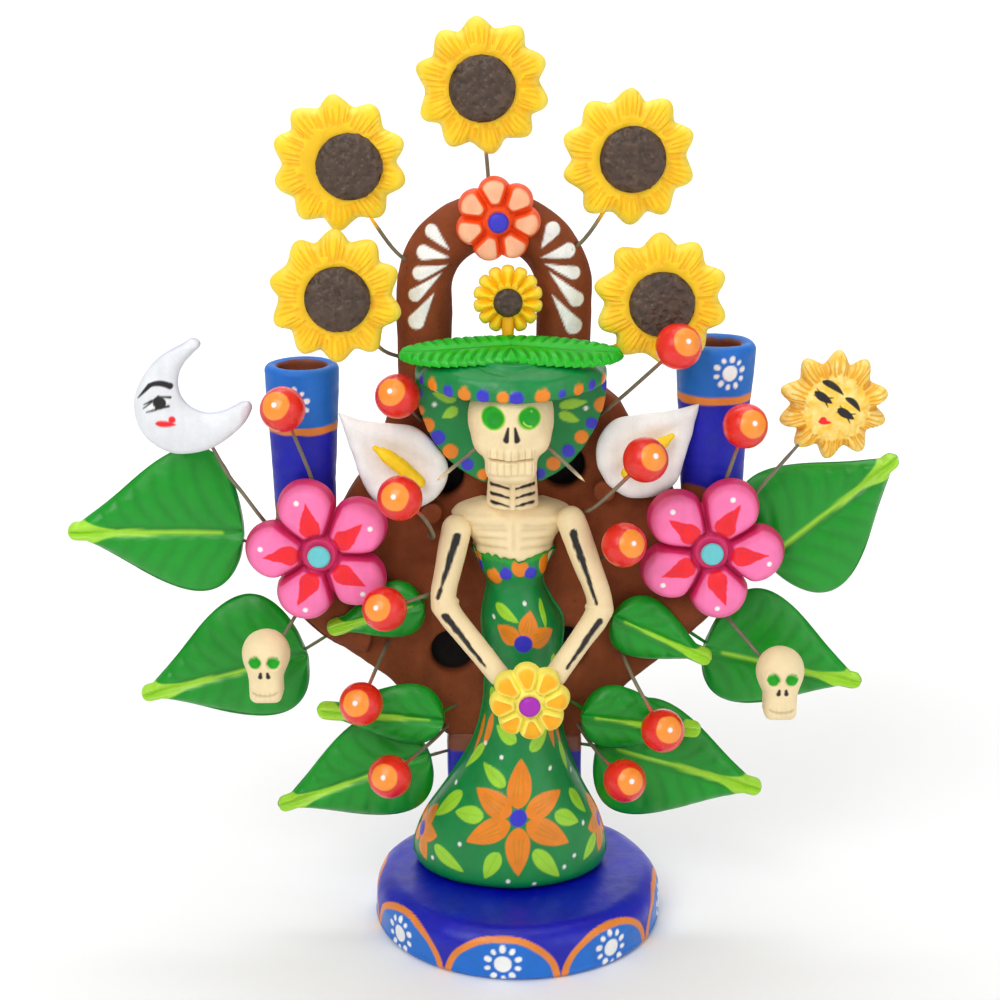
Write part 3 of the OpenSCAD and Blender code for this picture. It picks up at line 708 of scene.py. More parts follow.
def candle_cup(node, band, flower_turn, flower_low, seed):
    """A cup as thrown on a wheel: foot, wall, thick lip and bore, painted in three bands"""
    lo, hi = box_mm(node)
    r, top, peg, foot_r, bore_r, bore_deep = (hi[0] - lo[0]) / 2, hi[2], 5.0, 10.0, 8.0, 28.0
    cx, cy, foot = (lo[0] + hi[0]) / 2, (lo[1] + hi[1]) / 2, lo[2] + peg
    lip = (r - bore_r) / 2
    wall = np.linspace(foot, top - lip, 110)
    profile = [(peg * k, lo[2]) for k in (0.5, 0.98)] + [(peg, foot - 0.2), (foot_r - 0.6, foot)]
    profile += [(foot_r + (r - foot_r) * ((z - foot) / (top - lip - foot)) ** 1.1, z) for z in wall]
    profile += [(r - lip + lip * math.cos(a), top - lip + lip * math.sin(a))
                for a in np.radians(np.arange(8, 173, 8))]
    profile += [(bore_r, z) for z in np.linspace(top - lip - 0.5, top - bore_deep + 0.8, 30)]
    profile += [(bore_r - 0.8, top - bore_deep), (bore_r * 0.5, top - bore_deep)]
    profile = np.array(profile)
    turns = np.linspace(0, 2 * math.pi, 200, endpoint=False)
    grid = np.stack([cx + profile[:, :1] * np.sin(turns), cy - profile[:, :1] * np.cos(turns),
                     np.repeat(profile[:, 1:], len(turns), 1)], -1)
    s = closed_rows(grid, ULTRAMARINE)
    far = np.hypot(s.x - cx, s.y - cy)
    outer = (far > bore_r + 0.7) & (s.z > foot + 1)
    s.push(outer * (0.25 * noise(s.p, 9, seed) + 0.08 * noise(s.p * [1, 1, 3], 6, seed + 1) - 0.2))
    s.mottle(0.10, 7, seed + 2)
    edge = s.z + 0.35 * noise(s.p, 6, seed + 3)
    s.lay(smooth(band - 1.5, band - 1.2, edge), BAND_ORANGE, 0.1)
    s.lay(smooth(band + 1.2, band + 1.5, edge), CERULEAN, 0.05)
    s.lay(smooth(foot + 6.5, foot + 5.5, s.z + 2.2 * noise(s.p, 4, seed + 4)), TERRACOTTA)
    hollow = inside(far - bore_r - 0.5 - 0.4 * noise(s.p, 3, seed + 5), 0.4)
    s.lay(hollow * (s.z > top - bore_deep - 1), TERRACOTTA)
    angle = np.arctan2(s.x - cx, -(s.y - cy))
    dot_flower(s, angle * r, s.z + hollow * 100, (math.radians(flower_turn) * r, top - flower_low), 2.6)
    s.mottle(0.04, 2.5, seed + 6)
    make(node, s, FINISH["matte"], "cup_blue", node)


# ---------------------------------------------------------------- the lady


def sections(node):
    """A lofted CAD node's cross-sections from the bottom up: height, middle x, half width, depth, back y"""
    points = np.concatenate([p for p, _ in shells(node)])
    rows = []
    for z in np.unique(np.round(points[:, 2], 2)):
        ring = points[np.abs(points[:, 2] - z) < 0.02]
        lo, hi = ring.min(0), ring.max(0)
        rows.append([z, (lo[0] + hi[0]) / 2, (hi[0] - lo[0]) / 2, hi[1] - lo[1], hi[1]])
    return np.array(rows)


def loft(rows, pitch, colour, front=260, back=40):
    """A smooth body through half-oval sections with a flat back, and each point's length round its front"""
    table = curve(rows, 24)
    heights = np.arange(table[0, 0], table[-1, 0], pitch)
    at = np.stack([np.interp(heights, table[:, 0], table[:, k]) for k in range(1, 5)], 1)
    a = np.linspace(math.pi, 0, front)
    x = at[:, :1] + at[:, 1:2] * np.cos(a)
    y = at[:, 3:] - at[:, 2:3] * np.sin(a)
    gap = np.linspace(0, 1, back + 2)[1:-1]
    back_x = x[:, -1:] + (x[:, :1] - x[:, -1:]) * gap
    grid = np.stack([np.concatenate([x, back_x], 1), np.concatenate([y, np.repeat(at[:, 3:], back, 1)], 1),
                     np.repeat(heights[:, None], front + back, 1)], -1)
    round_front = np.concatenate([np.zeros((len(heights), 1)),
                                  np.cumsum(np.hypot(np.diff(x, axis=1), np.diff(y, axis=1)), 1)], 1)
    round_front -= round_front[:, front // 2: front // 2 + 1]
    u = np.concatenate([round_front, np.full((len(heights), back), 1e3)], 1).ravel()
    s = closed_rows(grid, colour)
    return s, np.concatenate([u, [1e3, 1e3]])


BIG_FLOWER = (1.5, 42.5)
BIG_PETALS = [(0.5, 61.5, 4.2), (17, 49, 3.9), (20.5, 32, 3.9), (2.5, 23, 4.2), (-16, 33.5, 3.9),
              (-14.5, 50.5, 4)]
HIP_FLOWER = (0, 101.5)
HIP_PETALS = [(4.2, 112.5, 3.3), (-9.3, 107, 3.4), (11.8, 105, 3.5)]
SIDE_FLOWERS = [
    ((-39, 31), [(-28.5, 32, 3), (-32, 40.5, 2.8), (-33, 22.5, 3), (-44, 38, 2.6), (-46, 26, 2.6)]),
    ((40, 33.5), [(30, 34, 3), (34, 43, 2.8), (35.5, 24.5, 3), (46, 40, 2.6), (47, 28, 2.6)]),
]
WAIST_PETALS = [((-11.5, 75), (-15.5, 61), 1.5), ((-17, 73), (-20, 60), 1.3),
                ((11, 76), (14, 63), 1.5), ((16, 74), (19, 61), 1.2)]
DRESS_LEAVES = [
    ((-14.5, 64), (-22.5, 54.5), 1.7), ((-4, 52.5), (-13.5, 58.5), 2.3), ((-20.5, 47.5), (-32, 37.5), 2.4),
    ((-10.5, 42.5), (-22, 41.5), 2.7), ((-29, 29), (-16.5, 22.8), 2.3), ((-4.5, 31), (-9, 21.5), 2.8),
    ((7.5, 31.5), (17, 21), 2.8), ((14.5, 42.5), (25, 37.5), 2.4), ((21.5, 48), (30, 39), 1.9),
    ((17.5, 64), (21.5, 54), 1.4), ((3.5, 64), (10.5, 70), 2.4), ((-1.5, 67), (-9.5, 71.5), 2.5),
    ((34, 31), (27, 24.5), 2.2), ((-8.5, 114), (-1, 109), 2.2), ((9.5, 115.5), (8.5, 106), 1.2),
    ((-12.5, 84), (-10, 76), 2.2), ((12, 96), (13, 87), 1.6),
]
DRESS_DOTS = [(-14, 64.5), (-6.5, 61.5), (12, 57), (-25.5, 49), (24.5, 53), (-18.5, 32), (-29.5, 24.5),
              (-1, 21), (8, 19.5), (23, 27), (27.5, 36.5), (2.5, 115), (-10.5, 109.5), (-12.5, 97), (19, 24)]
BUST_DOTS = [(-15.2, 126, 1), (-13.6, 124.2, 0), (-6.8, 122, 1), (-2.6, 123.4, 0), (2, 125.2, 1),
             (5.4, 123.6, 0), (11.3, 124.8, 1)]


def painted_flower(s, u, v, middle, petals, eye_r):
    """An orange flower with olive brush lines down its petals and a blue eye"""
    for px, pz, half in petals:
        root = (middle[0] + 0.16 * (px - middle[0]), middle[1] + 0.16 * (pz - middle[1]))
        s.lay(inside(leaf_mark(u, v, root, (px, pz), half)), FLOWER_ORANGE, 0.08)
        for k in (-0.35, 0.1, 0.45):
            nx, nz = -(pz - root[1]), px - root[0]
            n = math.hypot(nx, nz)
            sx, sz = k * half * nx / n, k * half * nz / n
            a = (root[0] * 0.75 + px * 0.25 + sx, root[1] * 0.75 + pz * 0.25 + sz)
            b = (root[0] * 0.25 + px * 0.75 + sx * 0.5, root[1] * 0.25 + pz * 0.75 + sz * 0.5)
            s.lay(0.4 * inside(stroke(u, v, a, b, 0.3, 0.12), 0.3), OLIVE)
    s.lay(inside(disc(u, v, middle, eye_r)), VIOLET_BLUE, 0.15)


def dress():
    rows = sections("dress")
    s, u = loft(rows, 0.42, EMERALD, front=300)
    foot, top = rows[0, 0], rows[-1, 0]
    middle = np.interp(s.z, rows[:, 0], rows[:, 1])
    back = rows[0, 4]
    hem = np.clip((foot + 4 - s.z) / 4, 0, 1)
    pull = 2.4 * (1 - np.sqrt(1 - hem ** 2))
    out = np.stack([s.x - middle, s.y - back], 1)
    out /= np.maximum(np.linalg.norm(out, axis=1, keepdims=True), 1e-6)
    s.p[:, 0] -= out[:, 0] * pull
    s.p[:, 1] -= out[:, 1] * pull * (s.y < back - 0.1)
    v = s.z.copy()
    front = s.y < back - 0.5
    s.push(front * (0.35 * noise(s.p, 14, 30) + 0.08 * noise(s.p, 4, 31) - 0.2))
    rim = smooth(top - 7, top - 1, s.z)
    ragged = noise(np.stack([u, u * 0, u * 0], 1), 1.6, 34)
    s.p[:, 2] += rim * front * (1.8 + 0.9 * ragged - 1.4 * np.exp(-((u - 1) / 4) ** 2))
    cups = sum(np.exp(-((u - at) / 6) ** 2 - ((v - 125) / 4) ** 2) for at in (-7.5, 8.5))
    s.push(front * (1.3 * cups - 0.3))
    s.mottle(0.08, 8, 32)
    bright = smooth(top - 2.4, top - 1.4, v + 0.7 * ragged) * front
    s.lay(0.7 * bright, (40, 170, 40))
    painted_flower(s, u, v, BIG_FLOWER, BIG_PETALS, 2.9)
    painted_flower(s, u, v, HIP_FLOWER, HIP_PETALS, 3.1)
    for middle_at, petals in SIDE_FLOWERS:
        painted_flower(s, u, v, middle_at, petals, 2.3)
    for root, tip, half in WAIST_PETALS:
        s.lay(inside(leaf_mark(u, v, root, tip, half)), FLOWER_ORANGE, 0.06)
    for root, tip, half in DRESS_LEAVES:
        s.lay(inside(leaf_mark(u, v, root, tip, half)), LIME, 0.08)
        s.lay(0.3 * inside(stroke(u, v, root, tip, 0.15, 0.1), 0.25), LEAF_GREEN)
    for at in DRESS_DOTS:
        s.lay(inside(disc(u, v, at, 0.72)), WHITE, 0.1)
    for x, z, warm in BUST_DOTS:
        s.lay(inside(disc(u * 0.9, v, (x * 0.9, z + 1.6), 2.5 if warm else 1.8)),
              FLOWER_ORANGE if warm else VIOLET_BLUE, 0.18)
    s.mottle(0.05, 2.5, 33)
    make("dress", s, FINISH["gloss"], "dress_green", "dress")


def torso():
    rows = sections("torso")
    lowest = rows[0].copy()
    lowest[0] -= 6
    lowest[2:4] -= 2.5
    s, _ = loft(np.concatenate([[lowest], rows]), 0.45, CREAM, front=220)
    front = s.y < rows[0, 4] - 0.5
    middle = rows[0, 1]
    s.push(front * (0.25 * noise(s.p, 7, 40) + 0.1 * noise(s.p, 2.5, 41)))
    side = np.abs(s.x - middle)
    carve = np.zeros(len(s.p))
    for z in (134.2, 137.4, 140.4):
        bow = z - 0.012 * (side - 3) ** 2
        carve += 0.55 * np.exp(-((s.z - bow) / 0.55) ** 2) * smooth(1.5, 3.5, side) * smooth(14, 9.5, side)
    collar_z = 144.6 - 0.10 * side
    carve -= 0.7 * np.exp(-((s.z - collar_z) / 1.2) ** 2) * smooth(1.5, 4, side)
    carve += 0.5 * np.exp(-((s.z - collar_z + 2.4) / 0.8) ** 2) * smooth(1.5, 4, side) * smooth(16, 11, side)
    carve += 0.4 * np.exp(-((s.x - middle) / 0.7) ** 2) * smooth(132, 135, s.z) * smooth(145, 141, s.z)
    s.push(-carve * front)
    # Painted shade: darker in the carved grooves of the ribs, below the collarbone and down the breastbone.
    shade = np.clip(carve, 0, 0.6) * front
    s.shade(1 - 0.35 * shade)
    s.mottle(0.03, 5, 42)
    make("torso", s, FINISH["bone"], "bone", "torso")


def arm(node, shoulder, elbow, hand, marks, seed):
    """An arm from shoulder to wrist, with black bone strokes"""
    shoulder, elbow, hand = np.array(shoulder, float), np.array(elbow, float), np.array(hand, float)
    near = 0.82
    bend = [shoulder + (elbow - shoulder) * near, elbow + (shoulder - elbow) * 0.05 + (hand - elbow) * 0.05,
            elbow + (hand - elbow) * (1 - near)]
    path = curve([shoulder, (shoulder + elbow) / 2, *bend, (elbow + hand) / 2, hand], 26)
    t = np.linspace(0, 1, len(path))
    r = 4.25 + 0.7 * np.exp(-(t / 0.2) ** 2) + 0.55 * np.exp(-((t - 0.52) / 0.06) ** 2)
    r = r - 0.5 * smooth(0.55, 1, t)
    s = tube(path, r, 64, CREAM)
    s.push(0.15 * noise(s.p, 7, seed) + 0.05 * noise(s.p, 2, seed + 1) - 0.1)
    front = s.front()
    s.mottle(0.03, 5, seed + 2)
    for a, b, wide in marks:
        d = stroke(s.x, s.z, a, b, wide, wide * 0.35) + 0.35 * noise(s.p, 1.8, seed + 3)
        s.push(-0.35 * inside(d + 0.2, 0.4) * front)
        s.lay(inside(d) * front, BLACK)
        s.shade(1 + 0.35 * inside(np.abs(d + wide * 0.8) - 0.12, 0.2) * inside(d))
    make(node, s, FINISH["bone"], "bone", node)


def neck():
    lo, hi = box_mm("neck")
    cx, cy, r = (lo[0] + hi[0]) / 2, (lo[1] + hi[1]) / 2, (hi[0] - lo[0]) / 2
    height = np.linspace(lo[2], hi[2], 50)
    turns = np.linspace(0, 2 * math.pi, 160, endpoint=False)
    radius = r - (height - lo[2]) / (hi[2] - lo[2])
    grid = np.stack([cx + radius[:, None] * np.sin(turns), cy - radius[:, None] * np.cos(turns),
                     np.repeat(height[:, None], len(turns), 1)], -1)
    s = closed_rows(grid, CREAM)
    front = s.front()
    side = np.abs(s.x - cx)
    s.push((0.5 * np.exp(-(side / 0.8) ** 2) - 0.4 * np.exp(-((side - 1.5) / 0.5) ** 2)) * front)
    for z in (149.6, 152.4, 155.4):
        d = stroke(side, s.z, (1.4, z), (6.9, z + 0.6), 0.35, 0.62, 0.35) + 0.2 * noise(s.p, 1.5, 50)
        s.push(-0.45 * inside(d, 0.6) * front)
        s.lay(inside(d, 0.2) * front, BLACK)
    s.mottle(0.03, 4, 51)
    make("neck", s, FINISH["bone"], "bone", "neck")


def skull():
    lo, hi = box_mm("skull")
    cx = (lo[0] + hi[0]) / 2
    wide, top, chin = (hi[0] - lo[0]) / 2, hi[2], lo[2]
    brow_y, crown_z = lo[1] + wide, top - wide

    def field(p):
        q = p.copy()
        q[:, 0] = np.abs(q[:, 0] - cx)
        d = egg(q, (0, brow_y, crown_z), (wide - 0.3, wide, wide))
        d = blend(d, egg(q, (4.5, brow_y - 3.5, crown_z - 3), (7.5, 9.5, 7)), 3)
        cheek = egg(q, (8.6, brow_y - 6.5, crown_z - 6.5), (3.4, 5, 4.2))
        jaw = block(q, (0, brow_y - 3, chin + 9), (8.3, 9.5, 9.2), 5)
        d = blend(blend(d, cheek, 2.5), jaw, 2.5)
        d = blend(d, egg(q, (0, brow_y - 11.5, crown_z - 6.5), (3.2, 3.5, 6)), 2)
        return -blend(-d, egg(q, (5.6, lo[1] - 0.9, crown_z + 2.3), (4.1, 3.6, 3.9)), 0.7)

    s = cast((cx, brow_y - 1, crown_z - 5), field, 7, 30, CREAM)
    front = s.front()
    s.push(0.12 * noise(s.p, 6, 60) + 0.05 * noise(s.p, 2, 61) - 0.1)
    side = s.x - cx
    jaw_front = smooth(crown_z - 7, crown_z - 8.5, s.z) * smooth(7.6, 6.6, np.abs(side)) * front
    bite = chin + 8.6 + 0.2 * noise(s.p, 4, 62)
    groove = np.exp(-((s.z - bite) / 0.38) ** 2) * jaw_front
    upper = smooth(bite, bite + 0.8, s.z) * smooth(bite + 5.6, bite + 4.4, s.z)
    lower = smooth(bite, bite - 0.8, s.z) * smooth(bite - 5.4, bite - 4.2, s.z)
    teeth = np.abs(np.sin(math.pi * side / 2.15))
    gaps = np.exp(-(teeth / 0.28) ** 2) * jaw_front * (upper + lower)
    s.push(-0.9 * groove - 0.55 * gaps + 0.6 * (upper + lower) * jaw_front)
    # Painted shade: darker along the bite groove and in the gaps between the teeth.
    s.shade(1 - 0.35 * groove - 0.12 * gaps)
    under = np.exp(-((s.z - bite + 5.8) / 0.7) ** 2) * jaw_front
    s.push(-0.3 * under)
    for x, z, r in ((-5.6, crown_z + 2.3, 3.75), (5.6, crown_z + 2.3, 3.6)):
        d = disc(side, s.z, (x, z), r) + 0.12 * noise(s.p, 2, 63)
        s.lay(inside(d) * front, (150, 214, 40), 0.05)
        s.lay(inside(d + 0.4) * front, EYE_GREEN, 0.05)
        s.lay(0.5 * inside(disc(side, s.z, (x + 0.3, z - 0.5), r * 0.62), 0.5) * front, (0, 140, 20))
        # A painted highlight: a light crescent on the right eye.
        if x > 0:
            ring = np.abs(disc(side, s.z, (x + 0.2, z - 0.3), r * 0.66)) - 0.22
            gleam = np.maximum(ring, s.z * 0.7 - side - 0.7 * z + x - 1)
            s.lay(inside(np.maximum(gleam, side - x - 0.8)) * front, (190, 230, 110), 0.05)
    for x, lean in ((-1.75, 0.75), (1.95, -0.75)):
        d = stroke(side, s.z, (x, crown_z - 4.4), (x + lean, crown_z - 0.6), 0.95, 0.35)
        s.push(-0.6 * inside(d, 0.4) * front)
        s.lay(inside(d, 0.2) * front, BLACK)
    s.mottle(0.03, 5, 64)
    make("skull", s, FINISH["bone"], "bone", "skull")


HAT_LEAF_MARKS = [((-20, 182.5), (-27.5, 184.8), 1.7), ((-19.5, 179.8), (-24.5, 176.6), 1.7),
                  ((12.8, 180.5), (22, 182), 1.6), ((12.8, 178), (19.5, 175.5), 1.6)]
RIM_DOTS = [(-31, 0, 1.7), (-27.5, 1, 2.3), (-22.3, 0, 2.0), (-17.2, 1, 2.2), (-11.4, 0, 2.2), (-5.2, 1, 2.0),
            (-0.9, 0, 2.3), (7.2, 1, 2.5), (13.4, 0, 1.4), (18.8, 1, 2.1), (23, 0, 1.9), (26.8, 1, 2.0)]
LAPEL_DOTS = [(-32.4, 184.5, 0, 1.7), (-32, 179, 1, 1.8), (-29.5, 174.2, 1, 2.5), (-26, 170, 0, 2.5),
              (-22, 165.4, 1, 2.5), (-16.5, 161, 0, 2.1), (-11.5, 157.6, 1, 1.8), (28, 187, 0, 1.6),
              (26.6, 181, 1, 2.5), (23.4, 174.8, 0, 2.0), (20.2, 170.3, 1, 2.2), (16, 165.6, 0, 2.2),
              (11.3, 161.4, 1, 2.3), (7, 158, 0, 1.8)]
HAT_DOTS = [(-26, 188.5), (-27, 181), (18, 186.5), (21.5, 179.8)]


def hat():
    s = softened("hat", 0.5, 9, EMERALD)
    lo, hi = box_mm("hat")
    cx, half, reach = (lo[0] + hi[0]) / 2, (hi[0] - lo[0]) / 2, 28.0
    rim_y = lo[1] + reach
    rim_z = 190.0
    s.push(0.25 * noise(s.p, 9, 70) + 0.08 * noise(s.p, 3, 71) - 0.15)
    s.mottle(0.08, 7, 72)
    normal = s.normals()
    over = np.maximum(1 - ((s.x - cx) / 28.5) ** 2 - ((s.y + 9.5) / 16.8) ** 2, 0)
    up = smooth(0.1, 0.5, normal[:, 2]) * (s.y < rim_y + 2) * (s.z > rim_z - 2)
    dome = rim_z + 3.6 + 5.6 * over ** 0.6 - 0.06 * np.abs(s.y + 9.5) * (over > 0)
    s.p[:, 2] = np.maximum(s.z, (s.z * (1 - up) + up * dome) * (over > 0) + s.z * (over <= 0))
    s.relax(6)
    normal = s.normals()
    for x, warm, r in RIM_DOTS:
        y = rim_y - reach * math.sqrt(max(1 - ((x - cx) / half) ** 2, 0))
        near = s.p[np.hypot(s.x - x, s.y - y) < 1.6]
        z = near[:, 2].min() + 1.9 if len(near) else rim_z
        along = np.hypot(s.x - x, s.y - y)
        d = np.hypot(along, s.z - z) - r
        s.lay(inside(d), FLOWER_ORANGE if warm else VIOLET_BLUE, 0.18)
    for x, z, warm, r in LAPEL_DOTS:
        on = (s.z < rim_z + 2) * smooth(0.6, 0.2, normal[:, 1]) * (s.y > rim_y - 8)
        s.lay(inside(disc(s.x, s.z, (x, z), r)) * on, FLOWER_ORANGE if warm else VIOLET_BLUE, 0.18)
    front = smooth(0.2, -0.4, normal[:, 1]) * (s.z < rim_z - 1)
    for root, tip, wide in HAT_LEAF_MARKS:
        s.lay(inside(leaf_mark(s.x, s.z, root, tip, wide)) * front, LIME, 0.1)
    for at in HAT_DOTS:
        s.lay(inside(disc(s.x, s.z, at, 0.75)) * front, WHITE, 0.1)
    s.mottle(0.05, 2.5, 73)
    make("hat", s, FINISH["gloss"], "dress_green", "hat")


# ---------------------------------------------------------------- flowers


def pads(x, z, petals, hub_r=0.0, cleft=0.3):
    """Distance to each petal of a flower, outside its hub. A petal is its inner half width, its outer
    half width, the direction and the distance of its end; it keeps to its own share of the circle"""
    each = []
    r, angle = np.hypot(x, z), np.arctan2(z, x)
    for inner, half, a, far in petals:
        start = (0.3 * far * math.cos(a), 0.3 * far * math.sin(a))
        d = stroke(x, z, start, (far * math.cos(a), far * math.sin(a)), inner, half)
        turned = np.abs((angle - a + math.pi) % (2 * math.pi) - math.pi)
        sector = cleft - r * np.sin(np.clip(math.pi / len(petals) - turned, -1.2, 1.2))
        d = -blend(-d, -sector, 1.0)
        each.append(-blend(-d, r - hub_r, 1.2) if hub_r else d)
    return np.stack(each)


def pad_outline(petals, reach, shrink=0.15):
    """The radius by angle that just holds the petals"""
    def radius(angle):
        r = np.full_like(angle, reach)
        for _ in range(60):
            x, z = r * np.cos(angle), r * np.sin(angle)
            d = np.min([stroke(x, z, (0, 0), (far * math.cos(a), far * math.sin(a)), inner, half)
                        for inner, half, a, far in petals], 0)
            r = r - 0.8 * (d + shrink)
        return r
    return radius


def pad_flower(node, slot, finish, petals, hub_r, sides, pad, edge=1.6, low=0.45, rim=0.55,
               paint=None, around=420, across=56):
    """A flower of thick rounded petals with grooves between them"""
    lo, hi = box_mm(node)
    at, thick = ((lo[0] + hi[0]) / 2, (lo[2] + hi[2]) / 2), hi[1] - lo[1]
    own = pad_outline(petals, (hi[0] - lo[0]) * 0.7)
    a = np.linspace(0, 2 * math.pi, 2000, endpoint=False)
    r = own(a)
    x, z = r * np.cos(a), r * np.sin(a)
    at = (at[0] - (max(x) + min(x)) / 2, at[1] - (max(z) + min(z)) / 2)

    def face(s, a, x, z):
        bed = np.clip(-pads(x, z, petals, hub_r) / edge, 0, 1).max(0)
        hub = low + (1 - low) * 0.72 * smooth(hub_r + 1.5, hub_r - 1, np.hypot(x, z))
        return np.maximum(low + (1 - low) * np.sqrt(1 - (1 - bed) ** 2), hub)

    s = plate(at, hi[1], thick, own, face, around, across, 10.0, sides)
    x, z = s.x - at[0], s.z - at[1]
    near = pads(x, z, petals, hub_r).min(0)
    front = smooth(hi[1] - 0.3 * thick, hi[1] - 0.5 * thick, s.y)
    s.lay(inside(near + edge * rim, 0.35) * front, pad, 0.05)
    if paint:
        paint(s, x, z, front, near)
    s.push(0.14 * noise(s.p, 6, 80) + 0.05 * noise(s.p, 2, 81) - 0.12)
    s.mottle(0.04, 4, 82)
    make(node, s, finish, slot, node)
    return at


def button(centre, r, high, colour, bumps=0.1, lump=3.0, seed=90, around=120, across=30, full=4.0):
    """A round dome that faces the front; centre is the middle of its flat back"""
    s = plate((centre[0], centre[2]), centre[1] + 0.25, high + 0.25, lambda a: np.full_like(a, r - 0.1),
              lambda q, a, x, z: np.sqrt(np.maximum(1 - (q * 0.985) ** full, 0)),
              around, across, 40.0, colour)
    s.push(bumps * noise(s.p, lump, seed) + bumps * 0.4 * noise(s.p, lump * 0.4, seed + 1) - bumps)
    return s


def dome_of(node_box):
    """The middle of a dome's flat back, its radius and its height, from its box"""
    lo, hi = node_box
    return np.array([(lo[0] + hi[0]) / 2, hi[1], (lo[2] + hi[2]) / 2]), (hi[0] - lo[0]) / 2, hi[1] - lo[1]


def wavy_lobes(count, seed):
    """A ring of uneven lobes: their turn and reach by angle"""
    rng = np.random.default_rng(seed)
    grow, swing = rng.uniform(0.9, 1.0, count), rng.uniform(-0.22, 0.22, count)
    start = math.pi / 2 - math.pi / count + rng.uniform(-0.1, 0.1)

    def lobes(a):
        q = (a - start) / (2 * math.pi / count)
        k = np.floor(q).astype(int) % count
        phase = 2 * (q - np.floor(q)) - 1
        return k, phase + swing[k] * (1 - phase ** 2)

    def reach(a):
        k, phase = lobes(a)
        return (0.5 + 0.5 * np.cos(math.pi * phase)) ** 0.8 * grow[k]

    return lobes, reach


def sunflower(node, seed):
    """A disc with a wavy, softly pointed rim and shallow strokes pressed outwards from the seed head"""
    lo, hi = box_mm(node)
    middle = ((lo[0] + hi[0]) / 2, (lo[2] + hi[2]) / 2)
    radius, thick = (hi[0] - lo[0]) / 2 - 0.1, hi[1] - lo[1]
    lobes, reach = wavy_lobes(10, seed)
    rng = np.random.default_rng(seed + 1)
    lines = [(a + rng.uniform(-0.03, 0.03), rng.uniform(11.5, 14), rng.uniform(16.5, 20.5),
              rng.uniform(0.25, 0.6))
             for a in np.linspace(0, 2 * math.pi, 58, endpoint=False)]

    def outline(a):
        return radius * (0.84 + 0.16 * reach(a))

    def pressed(x, z):
        total = np.zeros_like(x)
        for a, near, far, wide in lines:
            d = stroke(x, z, polar(near, a), polar(far, a), wide, 0.1)
            total = np.maximum(total, inside(d, 0.35))
        return total

    s = plate(middle, hi[1], thick, outline, lambda q, a, x, z: 0.9 + 0.06 * np.sin(math.pi * q),
              620, 60, 7.0, SUN_YELLOW)
    x, z = s.x - middle[0], s.z - middle[1]
    a = np.arctan2(z, x) % (2 * math.pi)
    q = np.hypot(x, z) / outline(a)
    front = s.front()
    _, phase = lobes(a)
    fold = np.exp(-((1 - np.abs(phase)) * q / 0.35) ** 2) * smooth(0.62, 0.9, q)
    press = pressed(x, z) * front
    s.push(-0.42 * press - 0.35 * fold * front)
    worn = 0.5 + 0.5 * noise(s.p, 4, seed + 1)
    # Painted shade: darker gold in the pressed lines and the folds between the lobes.
    s.lay(np.clip(0.8 * press + 0.25 * fold, 0, 0.85) * front, GOLD)
    s.lay(0.4 * smooth(0.66, 0.58, q), GOLD)
    s.lay(0.7 * smooth(0.84, 0.97, q) * (0.35 + 0.65 * worn), LEMON)
    s.lay(0.5 * smooth(0.3, -0.3, front), LEMON)
    s.push(0.22 * noise(s.p, 6, seed + 2) + 0.06 * noise(s.p, 1.7, seed + 3) - 0.15)
    s.mottle(0.05, 5, seed + 4)
    make(node, s, FINISH["petal"], "sunflower_yellow", node)


def seed_heads():
    parts = []
    for k, piece in enumerate(spans("sunflower_centers")):
        centre, r, high = dome_of(piece)
        s = button(centre, r, high, SEED_BROWN, 0.0, 3, 100 + k, 220, 62)
        n = 0.7 * noise(s.p, 1.7, 101 + k) + 0.4 * noise(s.p, 0.9, 111 + k)
        s.push(0.6 * n - 0.45 * np.clip(noise(s.p, 1.2, 121 + k) - 0.3, 0, 1) - 0.25)
        # Painted light and shade: the raised bumps are lighter and the hollows between them darker.
        s.shade(1.05 + 0.5 * n)
        s.mottle(0.08, 4, 131 + k)
        parts.append(s)
    make("sunflower_centers", join(parts), FINISH["seed"], "seed_brown", "sunflower_centers")


